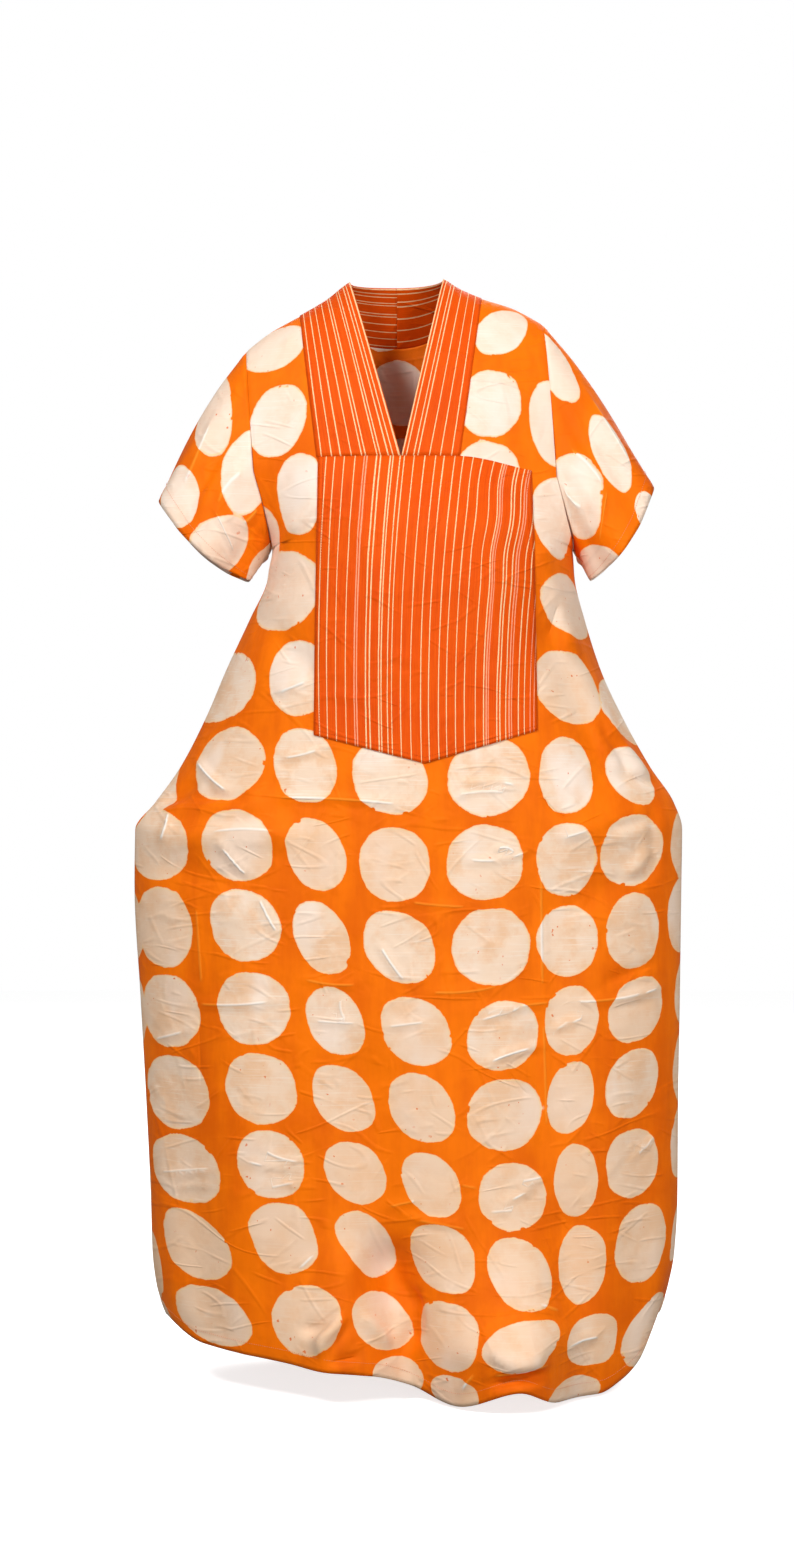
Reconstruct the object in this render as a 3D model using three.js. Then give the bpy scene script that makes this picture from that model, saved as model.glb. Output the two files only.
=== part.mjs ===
// Kaftan dress: an ankle-length dress of printed cotton, held in the hollow shape that it has when it is
// worn and its sides are drawn out at the hips. A striped neckband frames the V neck and a striped bib
// lies on the chest.
//
// Millimetres. +X is the wearer's left, +Y is the back and +Z is up. The origin is the middle of the
// neck, at the height where the shoulders carry the cloth. "Left" and "right" are the wearer's.
//
// Every piece is a wall between an outer surface and the same surface moved in by the cloth's thickness.
// The outer surface is a net of rows, from the shoulder seam to the hem, and columns, from the right
// side seam to the left one. Neighbouring pieces share the points of their seam, and each then draws
// back from it by half the seam gap.

import * as THREE from 'three';

// ---------------------------------------------------------------- driving sizes

const CLOTH = 1.5; // thickness of one wall
const SEAM_GAP = 0.3; // between two pieces that are sewn together
const LAYER_GAP = 0.3; // between the front and the bib that lies on it

const BAND_WIDTH = 86; // of the neckband at the centre back
const NAPE = { depth: 62, height: 14 }; // neckline at the centre back
const ARMHOLE_DEPTH = { front: 66, back: 70 }; // how far each half of the armhole stands off the seam plane
const UNDERARM_HEIGHT = -333;
const CUFF_SAG = 17; // how far the front and back of a cuff hang below its ends
const SLEEVE_FULLNESS = 7; // how far a sleeve stands out between armhole and cuff

// Heights of the shoulder seam. It is open between the two inner ends, where the neck is.
const SHOULDER_SEAM = [
  { x: -193, z: -79 },
  { x: -163, z: -56 },
  { x: -122, z: -33 },
  { x: -90, z: -14 },
  { x: -60, z: 9 },
  { x: 0, z: 34 },
  { x: 59, z: 13 },
  { x: 80, z: 0 },
  { x: 106, z: -11 },
  { x: 147, z: -24 },
  { x: 187, z: -45 },
];

// The dress from above the bust to the hem, by height on the side edge: the two edges (armhole, then
// side seam).
const SIDE_EDGES = [
  { z: -240, right: -180, left: 199 },
  { z: -290, right: -167, left: 213 },
  { z: -333, right: -160, left: 225 },
  { z: -372, right: -166, left: 228 },
  { z: -420, right: -188, left: 240 },
  { z: -488, right: -220, left: 262 },
  { z: -544, right: -244, left: 288 },
  { z: -610, right: -278, left: 325 },
  { z: -655, right: -310, left: 355 },
  { z: -690, right: -336, left: 366 },
  { z: -760, right: -337, left: 365 },
  { z: -909, right: -329, left: 363 },
  { z: -1037, right: -322, left: 361 },
  { z: -1165, right: -316, left: 360 },
  { z: -1230, right: -314, left: 356 },
  { z: -1275, right: -308, left: 347 },
  { z: -1310, right: -296, left: 336 },
];

// By height on the centre line: how far the front and the back stand off the seam plane, and how
// round the section is at its two edges (1 is an open arc, 2 an ellipse).
const DEPTHS = [
  { z: -226, front: 112, back: 122, edge: 1.0 },
  { z: -270, front: 134, back: 126, edge: 1.05 },
  { z: -320, front: 150, back: 126, edge: 1.3 },
  { z: -400, front: 156, back: 124, edge: 1.5 },
  { z: -520, front: 156, back: 134, edge: 1.45 },
  { z: -640, front: 157, back: 146, edge: 1.4 },
  { z: -800, front: 155, back: 148, edge: 1.45 },
  { z: -1000, front: 152, back: 150, edge: 1.55 },
  { z: -1200, front: 150, back: 156, edge: 1.6 },
  { z: -1392, front: 148, back: 164, edge: 1.7 },
];

// Landmark rows, from the right to the left: the top of the bib, its pointed foot, and the hem.
const BIB_TOP = [
  { x: -183, z: -240 },
  { x: -98, z: -226 },
  { x: 76, z: -226 },
  { x: 168, z: -241 },
  { x: 205, z: -246 },
];
const BIB_FOOT = [
  { x: -248, z: -564 },
  { x: -102, z: -572 },
  { x: 34, z: -607 },
  { x: 173, z: -566 },
  { x: 293, z: -564 },
];
const FRONT_HEM = [
  { x: -292, z: -1308 },
  { x: -243, z: -1332 },
  { x: -184, z: -1338 },
  { x: -120, z: -1342 },
  { x: -31, z: -1354 },
  { x: 16, z: -1372 },
  { x: 71, z: -1388 },
  { x: 147, z: -1362 },
  { x: 198, z: -1384 },
  { x: 250, z: -1388 },
  { x: 280, z: -1376 },
  { x: 303, z: -1358 },
  { x: 332, z: -1305 },
];
const BACK_HEM = [
  { x: -292, z: -1308 },
  { x: -200, z: -1352 },
  { x: -60, z: -1386 },
  { x: 80, z: -1392 },
  { x: 220, z: -1372 },
  { x: 332, z: -1305 },
];

// Columns of the front that follow a sewn line, and how many strips of the net lie on the left of each.
// top, chest, foot and hem are their places across at the four landmark rows.
const FRONT_LINES = [
  { name: 'right edge', strips: 9 },
  { name: 'bib right', strips: 6, top: -122, chest: -98, foot: -102, hem: -112 },
  { name: 'vee', strips: 2, top: -60, chest: 5, foot: 8, hem: 16 },
  { name: 'bib point', strips: 4, chest: 30, foot: 34, hem: 46 },
  { name: 'band left', strips: 4, top: 106, chest: 76, foot: 82, hem: 98 },
  { name: 'bib left', strips: 10, top: 152, chest: 168, foot: 173, hem: 192 },
  { name: 'left edge', strips: 0 },
];
const NECK_LEFT_TOP = 59; // the left end of the neck opening on the shoulder seam

const BACK_LINES = [
  { name: 'right edge', strips: 9 },
  { name: 'band right', strips: 5, top: -122, chest: -105, hem: -112 },
  { name: 'centre back', strips: 5, top: 0, chest: 6, hem: 22 },
  { name: 'band left', strips: 4, top: 106, chest: 112, hem: 150 },
  { name: 'shoulder left', strips: 10, top: 152, chest: 160, hem: 218 },
  { name: 'left edge', strips: 0 },
];

// Rows of the net between the landmark rows.
const ROWS = { shoulder: 9, chest: 5, waist: 10, skirt: 24 };
const CHEST_ROW = ROWS.shoulder;
const UNDERARM_ROW = CHEST_ROW + ROWS.chest;
const FOOT_ROW = UNDERARM_ROW + ROWS.waist;
const HEM_ROW = FOOT_ROW + ROWS.skirt;

// Folds: a soft ridge (rise above 0) or trough (below 0) along a line across the panel.
const FRONT_FOLDS = [
  { name: 'right armhole drape', x0: -168, z0: -388, x1: -110, z1: -280, rise: 7, width: 18 },
  { name: 'under right drape', x0: -170, z0: -425, x1: -116, z1: -480, rise: -6, width: 20 },
  { name: 'left long fold, upper', x0: 187, z0: -350, x1: 222, z1: -452, rise: 12, width: 15 },
  { name: 'left long fold, lower', x0: 222, z0: -452, x1: 303, z1: -612, rise: 15, width: 17 },
  { name: 'behind the left fold', x0: 250, z0: -440, x1: 334, z1: -626, rise: -11, width: 15 },
  { name: 'inside the left fold', x0: 190, z0: -450, x1: 256, z1: -620, rise: -6, width: 17 },
  { name: 'right hand pull', x0: -316, z0: -662, x1: -180, z1: -656, rise: 7, width: 16 },
  { name: 'second right pull', x0: -300, z0: -700, x1: -146, z1: -696, rise: 6, width: 17 },
  { name: 'below right pull', x0: -308, z0: -734, x1: -196, z1: -752, rise: -6, width: 20 },
  { name: 'left hand pull', x0: 345, z0: -672, x1: 226, z1: -690, rise: 7, width: 20 },
  { name: 'below left pull', x0: 338, z0: -722, x1: 240, z1: -770, rise: -6, width: 22 },
  { name: 'right flank', x0: -200, z0: -760, x1: -186, z1: -1180, rise: 6, width: 42 },
  { name: 'left flank', x0: 190, z0: -800, x1: 186, z1: -1130, rise: -6, width: 36 },
  { name: 'between the feet, upper', x0: -32, z0: -1060, x1: -6, z1: -1230, rise: -12, width: 34 },
  { name: 'between the feet, lower', x0: -6, z0: -1230, x1: 20, z1: -1390, rise: -28, width: 32 },
  { name: 'beside the left foot', x0: 206, z0: -1190, x1: 222, z1: -1390, rise: -13, width: 30 },
  { name: 'over the left foot', x0: 92, z0: -1322, x1: 196, z1: -1308, rise: 12, width: 24 },
  { name: 'over the right foot', x0: -66, z0: -1230, x1: -92, z1: -1345, rise: 10, width: 26 },
  { name: 'right corner', x0: -286, z0: -1010, x1: -236, z1: -1310, rise: -9, width: 32 },
  { name: 'left corner', x0: 320, z0: -1020, x1: 300, z1: -1300, rise: -8, width: 28 },
];
const BACK_FOLDS = [
  { name: 'right back', x0: -196, z0: -470, x1: -232, z1: -1340, rise: 12, width: 34 },
  { name: 'right trough', x0: -128, z0: -560, x1: -150, z1: -1380, rise: -13, width: 32 },
  { name: 'centre ridge', x0: -52, z0: -430, x1: -62, z1: -1390, rise: 13, width: 32 },
  { name: 'centre trough', x0: 26, z0: -600, x1: 30, z1: -1390, rise: -14, width: 32 },
  { name: 'left ridge', x0: 104, z0: -500, x1: 122, z1: -1390, rise: 12, width: 32 },
  { name: 'left trough', x0: 178, z0: -640, x1: 208, z1: -1370, rise: -12, width: 32 },
  { name: 'left back', x0: 230, z0: -520, x1: 286, z1: -1330, rise: 9, width: 30 },
  { name: 'yoke drag, right', x0: -150, z0: -250, x1: -70, z1: -420, rise: 6, width: 22 },
  { name: 'yoke drag, left', x0: 168, z0: -250, x1: 84, z1: -420, rise: 6, width: 22 },
];

// Where the front is pushed out over the wearer's feet.
const FOOT_BULGES = [
  { name: 'left foot', x: 150, z: -1372, wide: 74, tall: 120, out: 78 },
  { name: 'right foot', x: -84, z: -1350, wide: 70, tall: 95, out: 30 },
];

// The ends of each cuff, and how far it stands off its own middle to the front and back.
const SLEEVES = {
  right: { top: [-304, -6, -268], bottom: [-187, -10, -372], half: 60, steps: 8 },
  left: { top: [327, -4, -251], bottom: [246, -10, -371], half: 60, steps: 8 },
};
// Folds that run down a sleeve, by the turn around it from the top (90 is the front).
const SLEEVE_FOLDS = [
  { name: 'front trough', turn: 62, rise: -7, width: 15 },
  { name: 'front ridge', turn: 98, rise: 7, width: 14 },
  { name: 'low trough', turn: 132, rise: -5, width: 14 },
  { name: 'back trough', turn: 240, rise: -7, width: 18 },
  { name: 'back ridge', turn: 285, rise: 6, width: 18 },
];

const COLOURS = { ground: 0xf27408, stripe: 0xf5641a };

// ---------------------------------------------------------------- small helpers

const lerp = THREE.MathUtils.lerp;
const degrees = THREE.MathUtils.degToRad;

// A smooth curve through a table's rows: the value of one column where another has the value `at`.
function smooth(table, key, at, column) {
  const rising = table[0][key] < table[table.length - 1][key];
  const rows = rising ? table : [...table].reverse();
  const last = rows.length - 1;
  if (at <= rows[0][key]) return rows[0][column];
  if (at >= rows[last][key]) return rows[last][column];
  let k = 0;
  while (rows[k + 1][key] < at) k += 1;
  const slope = (a, b) => (rows[b][column] - rows[a][column]) / (rows[b][key] - rows[a][key]);
  const span = rows[k + 1][key] - rows[k][key];
  const inner = slope(k, k + 1);
  const start = k > 0 ? limited(slope(k - 1, k), inner) : inner;
  const end = k + 1 < last ? limited(inner, slope(k + 1, k + 2)) : inner;
  const t = (at - rows[k][key]) / span;
  const keep = t * t * (3 - 2 * t);
  return (
    lerp(rows[k][column], rows[k + 1][column], keep) +
    span * t * (1 - t) * ((1 - t) * start - t * end)
  );
}

// The slope at a table's row, from the slopes on its two sides, so that the curve never overshoots.
function limited(before, after) {
  return before * after <= 0 ? 0 : (2 * before * after) / (before + after);
}

// Straight lines through a table's rows, for an edge with true corners.
function straight(table, at) {
  let k = 0;
  while (k < table.length - 2 && table[k + 1].x < at) k += 1;
  const t = (at - table[k].x) / (table[k + 1].x - table[k].x);
  return lerp(table[k].z, table[k + 1].z, THREE.MathUtils.clamp(t, 0, 1));
}

// ---------------------------------------------------------------- the form under the cloth

// How far a panel stands off the seam plane, `across` it (-1 to 1), at one row.
function standOff(level, across, side, edgeDepth) {
  const middle = smooth(DEPTHS, 'z', level, side);
  const round = smooth(DEPTHS, 'z', level, 'edge');
  const arc = Math.pow(Math.max(0, 1 - Math.pow(Math.abs(across), 2.2)), 1 / round);
  return edgeDepth + (middle - edgeDepth) * arc;
}

// A fold's height at a place on the panel. It fades in and out along its line.
function foldHeight(folds, x, z) {
  let height = 0;
  for (const fold of folds) {
    const dx = fold.x1 - fold.x0;
    const dz = fold.z1 - fold.z0;
    const length = Math.hypot(dx, dz);
    const along = ((x - fold.x0) * dx + (z - fold.z0) * dz) / length / length;
    const beside = ((x - fold.x0) * dz - (z - fold.z0) * dx) / length;
    const beyond = Math.max(0, -along, along - 1) * length;
    const fade = Math.exp(-Math.pow(beyond / (1.2 * fold.width), 2));
    height += fold.rise * fade * Math.exp(-Math.pow(beside / fold.width, 2));
  }
  return height;
}

function bulgeHeight(x, z) {
  let out = 0;
  for (const b of FOOT_BULGES) {
    out += b.out * Math.exp(-Math.pow((x - b.x) / b.wide, 2) - Math.pow((z - b.z) / b.tall, 2));
  }
  return out;
}

// From a point of the shoulder seam or neckline to one of the chest row, over the round of the shoulder.
// start and end are the angles of the arc, so a start above 0 leaves the neck at a slope.
function overShoulder(top, low, start, end, t) {
  const angle = lerp(start, end, t);
  const forward = (Math.sin(angle) - Math.sin(start)) / (Math.sin(end) - Math.sin(start));
  const down = (Math.cos(start) - Math.cos(angle)) / (Math.cos(start) - Math.cos(end));
  return new THREE.Vector3(
    lerp(top.x, low.x, down),
    lerp(top.y, low.y, forward),
    lerp(top.z, low.z, down),
  );
}

// Even steps drawn together towards the far end.
function narrowing(part) {
  return lerp(part, Math.sin((part * Math.PI) / 2), 0.55);
}

// How far down the skirt a row lies: the rows are closer together by the hands.
function downSkirt(row) {
  return Math.pow((row - FOOT_ROW) / ROWS.skirt, 1.15);
}

// One half of the dress below the shoulder: the front or the back.
function makePanel({ side, sign, lines, hem, folds, foot, chestLine }) {
  const edgeDepth = ARMHOLE_DEPTH[side];

  // The place across and the height of a column at one of the rows from the chest down.
  function edgeAt(z, name) {
    return smooth(SIDE_EDGES, 'z', z, name === 'right edge' ? 'right' : 'left');
  }
  function landmark(line, row) {
    if (line.name.endsWith('edge')) {
      const low = hem[line.name === 'right edge' ? 0 : hem.length - 1].z;
      const heights = [chestLine(edgeAt(-243, line.name)), UNDERARM_HEIGHT, foot(edgeAt(-563, line.name)), low];
      return edgeAt(heightBetween(heights, row), line.name);
    }
    const footPlace = line.foot ?? lerp(line.chest, line.hem, 0.3);
    if (row <= FOOT_ROW) return lerp(line.chest, footPlace, (row - CHEST_ROW) / (FOOT_ROW - CHEST_ROW));
    return lerp(footPlace, line.hem, downSkirt(row));
  }
  function heightBetween(heights, row) {
    if (row <= UNDERARM_ROW) {
      const turn = ((row - CHEST_ROW) / ROWS.chest) * (Math.PI / 2);
      return lerp(heights[0], heights[1], Math.sin(turn));
    }
    if (row <= FOOT_ROW) return lerp(heights[1], heights[2], (row - UNDERARM_ROW) / ROWS.waist);
    return lerp(heights[2], heights[3], downSkirt(row));
  }
  // Strips are narrower towards a side edge, where the panel turns.
  function between(index, part, row) {
    const a = landmark(lines[index], row);
    const b = landmark(lines[index + 1], row);
    if (index === 0) return lerp(b, a, narrowing(1 - part));
    if (index === lines.length - 2) return lerp(a, b, narrowing(part));
    return lerp(a, b, part);
  }
  function place(index, part, row) {
    const x = between(index, part, row);
    const right = landmark(lines[0], row);
    const left = landmark(lines[lines.length - 1], row);
    const across = THREE.MathUtils.clamp((2 * x - right - left) / (left - right), -1, 1);
    const heights = [
      chestLine(between(index, part, CHEST_ROW)),
      UNDERARM_HEIGHT + 21 * (1 - across * across),
      foot(between(index, part, FOOT_ROW)),
      smooth(hem, 'x', between(index, part, HEM_ROW), 'z'),
    ];
    const z = heightBetween(heights, row);
    const level = heightBetween([-226, -312, -590, -1392], row);
    const turn = Math.min(1, (row - CHEST_ROW) / ROWS.chest) * (Math.PI / 2);
    // the edge closes at the underarm; inside it the armhole's fullness fades out further down
    const fade = 1 - THREE.MathUtils.smoothstep(-level, 200, 470);
    const nearEdge = Math.pow(Math.abs(across), 20);
    const depth = standOff(level, across, side, edgeDepth * lerp(fade, Math.cos(turn), nearEdge));
    const free = 1 - Math.pow(Math.abs(across), 6);
    const raised = foldHeight(folds, x, z) + (side === 'front' ? bulgeHeight(x, z) : 0);
    return new THREE.Vector3(x, sign * (depth + free * raised), z);
  }
  return { place };
}

const front = makePanel({
  side: 'front',
  sign: -1,
  lines: FRONT_LINES,
  hem: FRONT_HEM,
  folds: FRONT_FOLDS,
  foot: (x) => straight(BIB_FOOT, x),
  chestLine: (x) => smooth(BIB_TOP, 'x', x, 'z'),
});
const back = makePanel({
  side: 'back',
  sign: 1,
  lines: BACK_LINES,
  hem: BACK_HEM,
  folds: BACK_FOLDS,
  foot: () => -564,
  chestLine: (x) => smooth(BIB_TOP, 'x', x, 'z'),
});

const shoulderPoint = (x) => new THREE.Vector3(x, 0, smooth(SHOULDER_SEAM, 'x', x, 'z'));

// How far round the shoulder a front column has turned when it reaches the chest row.
const FRONT_END = { middle: degrees(65), edge: degrees(90) };
const BACK_END = degrees(84);
const NAPE_START = degrees(56);

function frontEnd(x) {
  const share = Math.min(1, Math.abs(x - 10) / 190);
  return lerp(FRONT_END.middle, FRONT_END.edge, share * share);
}

// The outer edge of the neckband behind the shoulders: an arc from one shoulder seam to the other.
function bandEdgeBehind(turn) {
  const rightEnd = shoulderPoint(FRONT_LINES[1].top);
  const leftEnd = shoulderPoint(FRONT_LINES[4].top);
  const drop = BAND_WIDTH * Math.sin(NAPE_START);
  const centre = { y: NAPE.depth + BAND_WIDTH * Math.cos(NAPE_START), z: NAPE.height - drop };
  const end = turn < Math.PI / 2 ? rightEnd : leftEnd;
  const share = Math.sin(turn);
  return new THREE.Vector3(
    Math.abs(Math.cos(turn)) * end.x,
    share * centre.y,
    lerp(end.z, centre.z, share * share),
  );
}

// The neckline behind the shoulders.
function necklineBehind(turn) {
  const end = shoulderPoint(turn < Math.PI / 2 ? FRONT_LINES[2].top : NECK_LEFT_TOP);
  const share = Math.sin(turn);
  return new THREE.Vector3(
    Math.abs(Math.cos(turn)) * end.x,
    share * NAPE.depth,
    lerp(end.z, NAPE.height, share * share),
  );
}

// ---------------------------------------------------------------- nets

// A net is a list of points and of faces. Points in the same place are one point.
class Net {
  constructor(name) {
    this.name = name;
    this.points = [];
    this.faces = [];
    this.places = new Map();
  }

  add(point) {
    const key = placeKey(point);
    if (!this.places.has(key)) {
      this.places.set(key, this.points.length);
      this.points.push(point);
    }
    return this.places.get(key);
  }

  // A patch of rows of points. `flip` turns its faces over, so that they point outwards.
  patch(rows, flip) {
    const ids = rows.map((row) => row.map((point) => this.add(point)));
    for (let i = 0; i + 1 < ids.length; i += 1) {
      for (let j = 0; j + 1 < ids[i].length; j += 1) {
        const corners = [ids[i][j], ids[i + 1][j], ids[i + 1][j + 1], ids[i][j + 1]];
        this.face(flip ? corners.reverse() : corners);
      }
    }
    return this;
  }

  face(corners) {
    const [a, b, c, d] = corners;
    for (const triangle of [[a, b, c], [a, c, d]]) {
      if (new Set(triangle).size === 3) this.faces.push(triangle);
    }
  }
}

function placeKey(point) {
  return [point.x, point.y, point.z].map((v) => Math.round(v * 500)).join(',');
}

// The columns of a panel from one sewn line to another, as [line, part of the way to the next] pairs.
function columnsBetween(lines, first, last) {
  const columns = [];
  for (let k = first; k < last; k += 1) {
    for (let n = 0; n < lines[k].strips; n += 1) columns.push([k, n / lines[k].strips]);
  }
  columns.push([last - 1, 1]);
  return columns;
}

// Rows of the front or back, from one row to another.
function panelRows(panel, columns, firstRow, lastRow) {
  const rows = [];
  for (let row = firstRow; row <= lastRow; row += 1) {
    rows.push(columns.map(([line, part]) => panel.place(line, part, row)));
  }
  return rows;
}

// Rows over the shoulder, down to the chest row. topAt gives each column's start.
function shoulderRows(panel, columns, topAt, startAt, endAt) {
  const rows = [];
  for (let row = 0; row <= ROWS.shoulder; row += 1) {
    const t = row / ROWS.shoulder;
    rows.push(
      columns.map(([line, part]) => {
        const low = panel.place(line, part, CHEST_ROW);
        return overShoulder(topAt(line, part), low, startAt(line, part), endAt(low.x), t);
      }),
    );
  }
  return rows;
}

// ---------------------------------------------------------------- pieces as nets

const SHOULDER_TIPS = { right: SHOULDER_SEAM[0].x, left: SHOULDER_SEAM[SHOULDER_SEAM.length - 1].x };

// Where a front column starts on the shoulder seam.
function frontTop(line, part) {
  const places = FRONT_LINES.map((entry) => entry.top);
  places[0] = SHOULDER_TIPS.right;
  places[FRONT_LINES.length - 1] = SHOULDER_TIPS.left;
  if (line === 2 || line === 3) {
    // left half of the neckband: from the neck to the band's outer edge
    const strips = FRONT_LINES[2].strips + FRONT_LINES[3].strips;
    const done = line === 2 ? part * FRONT_LINES[2].strips : FRONT_LINES[2].strips + part * FRONT_LINES[3].strips;
    return shoulderPoint(lerp(NECK_LEFT_TOP, places[4], done / strips));
  }
  return shoulderPoint(lerp(places[line], places[line + 1], part));
}

function backTop(line, part) {
  if (line === 0) return shoulderPoint(lerp(SHOULDER_TIPS.right, BACK_LINES[1].top, part));
  if (line === 3) return shoulderPoint(lerp(BACK_LINES[3].top, BACK_LINES[4].top, part));
  if (line === 4) return shoulderPoint(lerp(BACK_LINES[4].top, SHOULDER_TIPS.left, part));
  return bandEdgeBehind(((line - 1 + part) * Math.PI) / 2);
}

function backStart(line, part) {
  if (line === 0 || line > 2) return 0;
  const share = Math.sin(((line - 1 + part) * Math.PI) / 2);
  return NAPE_START * share * share;
}

function frontNet() {
  const net = new Net('front');
  const right = columnsBetween(FRONT_LINES, 0, 1);
  const left = columnsBetween(FRONT_LINES, 4, 6);
  net.patch(shoulderRows(front, right, frontTop, () => 0, frontEnd), false);
  net.patch(shoulderRows(front, left, frontTop, () => 0, frontEnd), false);
  net.patch(panelRows(front, columnsBetween(FRONT_LINES, 0, 6), CHEST_ROW, HEM_ROW), false);
  return net;
}

function backNet() {
  const net = new Net('back');
  const columns = columnsBetween(BACK_LINES, 0, 5);
  net.patch(shoulderRows(back, columns, backTop, backStart, () => BACK_END), true);
  net.patch(panelRows(back, columns, CHEST_ROW, HEM_ROW), true);
  return net;
}

// One half of the neckband: from the point of the V over the shoulder to the centre back.
function bandNet(name, firstLine, lastLine, turns, innerFirst) {
  const net = new Net(name);
  const columns = columnsBetween(FRONT_LINES, firstLine, lastLine);
  net.patch(shoulderRows(front, columns, frontTop, () => 0, frontEnd), false);
  const strips = columns.length - 1;
  const rows = [];
  const steps = BACK_LINES[1].strips;
  for (let step = 0; step <= steps; step += 1) {
    const turn = lerp(turns.from, turns.to, step / steps);
    const inner = necklineBehind(turn);
    const outer = bandEdgeBehind(turn);
    const atShoulder = columns.map(([line, part]) => frontTop(line, part));
    rows.push(
      atShoulder.map((top, n) => {
        const across = innerFirst ? n / strips : 1 - n / strips;
        const point = inner.clone().lerp(outer, across);
        const ends = innerFirst ? [atShoulder[0], atShoulder[strips]] : [atShoulder[strips], atShoulder[0]];
        const level = lerp(ends[0].z, ends[1].z, across);
        point.z += (top.z - level) * Math.pow(Math.cos(turn), 2);
        return point;
      }),
    );
  }
  net.patch(rows, true);
  return net;
}

// A sleeve: a tube from the armhole, which the front and back share, to the cuff.
function sleeveNet(name, sleeve, flip) {
  const edge = name === 'sleeve_right' ? 0 : FRONT_LINES.length - 2;
  const backEdge = name === 'sleeve_right' ? 0 : BACK_LINES.length - 2;
  const part = name === 'sleeve_right' ? 0 : 1;
  const frontEdge = armholeEdge(front, edge, part, frontTop, frontEnd);
  const rearEdge = armholeEdge(back, backEdge, part, backTop, () => BACK_END);
  const root = [...frontEdge, ...rearEdge.slice(1, -1).reverse()];
  const turns = [...turnsAlong(frontEdge), ...turnsAlong(rearEdge).slice(1, -1).reverse().map((t) => 2 * Math.PI - t)];
  const rings = [];
  for (let step = 0; step <= sleeve.steps; step += 1) {
    const s = step / sleeve.steps;
    const ring = root.map((start, k) => sleevePoint(sleeve, start, turns[k], s));
    ring.push(ring[0].clone());
    rings.push(ring);
  }
  return new Net(name).patch(rings, flip);
}

function armholeEdge(panel, line, part, topAt, endAt) {
  const low = panel.place(line, part, CHEST_ROW);
  const points = [];
  for (let row = 0; row < ROWS.shoulder; row += 1) {
    points.push(overShoulder(topAt(line, part), low, 0, endAt(low.x), row / ROWS.shoulder));
  }
  for (let row = CHEST_ROW; row <= UNDERARM_ROW; row += 1) points.push(panel.place(line, part, row));
  return points;
}

// The turn around the sleeve, from 0 at the shoulder to pi at the underarm, by length along the edge.
function turnsAlong(points) {
  const lengths = [0];
  for (let k = 1; k < points.length; k += 1) {
    lengths.push(lengths[k - 1] + points[k].distanceTo(points[k - 1]));
  }
  return lengths.map((length) => (length / lengths[lengths.length - 1]) * Math.PI);
}

function sleevePoint(sleeve, start, turn, s) {
  const top = new THREE.Vector3(...sleeve.top);
  const bottom = new THREE.Vector3(...sleeve.bottom);
  const middle = top.clone().lerp(bottom, 0.5);
  const halfUp = top.clone().sub(middle);
  const sag = CUFF_SAG * Math.pow(Math.abs(Math.sin(turn)), 1.5);
  const cuff = middle.clone().addScaledVector(halfUp, Math.cos(turn));
  cuff.y -= sleeve.half * Math.sin(turn);
  cuff.z -= sag;
  cuff.x += Math.sign(middle.x) * sag * 0.35;
  const point = start.clone().lerp(cuff, s);
  // stands out from the sleeve's own middle, most between armhole and cuff
  const out = halfUp.clone().normalize().multiplyScalar(Math.cos(turn));
  out.y -= Math.sin(turn);
  const full = SLEEVE_FULLNESS * Math.sin(Math.PI * s) * (0.5 + 0.5 * Math.cos(turn));
  let folds = 0;
  for (const fold of SLEEVE_FOLDS) {
    const away = turn - degrees(fold.turn);
    folds += fold.rise * Math.exp(-Math.pow(away / degrees(fold.width), 2));
  }
  const upper = Math.sin(Math.min(1, s * 1.15) * Math.PI * 0.62);
  return point.addScaledVector(out, full + folds * upper);
}

const nets = {
  front: frontNet(),
  back: backNet(),
  neckband_right: bandNet('neckband_right', 1, 2, { from: 0, to: Math.PI / 2 }, false),
  neckband_left: bandNet('neckband_left', 2, 4, { from: Math.PI, to: Math.PI / 2 }, true),
  sleeve_right: sleeveNet('sleeve_right', SLEEVES.right, false),
  sleeve_left: sleeveNet('sleeve_left', SLEEVES.left, true),
};

// ---------------------------------------------------------------- seams and walls

// Outward direction at every point, from the faces of all the pieces that meet there.
function sharedNormals(all) {
  const normals = new Map();
  for (const net of all) {
    for (const [a, b, c] of net.faces) {
      const [p, q, r] = [net.points[a], net.points[b], net.points[c]];
      const facing = q.clone().sub(p).cross(r.clone().sub(p));
      for (const point of [p, q, r]) {
        const key = placeKey(point);
        if (!normals.has(key)) normals.set(key, new THREE.Vector3());
        normals.get(key).add(facing);
      }
    }
  }
  for (const normal of normals.values()) normal.normalize();
  return normals;
}

// The net's edges with a face on one side only, as [from, to] with the face on their left.
function openEdges(net) {
  const used = new Set();
  for (const face of net.faces) face.forEach((a, k) => used.add(`${a},${face[(k + 1) % 3]}`));
  const open = [];
  for (const pair of used) {
    const [a, b] = pair.split(',').map(Number);
    if (!used.has(`${b},${a}`)) open.push([a, b]);
  }
  return open;
}

// Moves the points of seams back from the neighbouring piece by half the seam gap.
function drawBack(net, normals, seams) {
  const moves = net.points.map(() => []);
  for (const [a, b] of openEdges(net)) {
    const ends = [placeKey(net.points[a]), placeKey(net.points[b])].sort().join('|');
    if (seams.get(ends) < 2) continue;
    const along = net.points[b].clone().sub(net.points[a]);
    for (const id of [a, b]) {
      const normal = normals.get(placeKey(net.points[id]));
      moves[id].push(normal.clone().cross(along).normalize());
    }
  }
  return net.points.map((point, id) => {
    if (moves[id].length === 0) return point.clone();
    const sum = moves[id].reduce((total, move) => total.add(move), new THREE.Vector3());
    const mean = sum.divideScalar(moves[id].length);
    return point.clone().addScaledVector(mean, SEAM_GAP / 2 / Math.max(0.35, mean.lengthSq()));
  });
}

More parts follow.
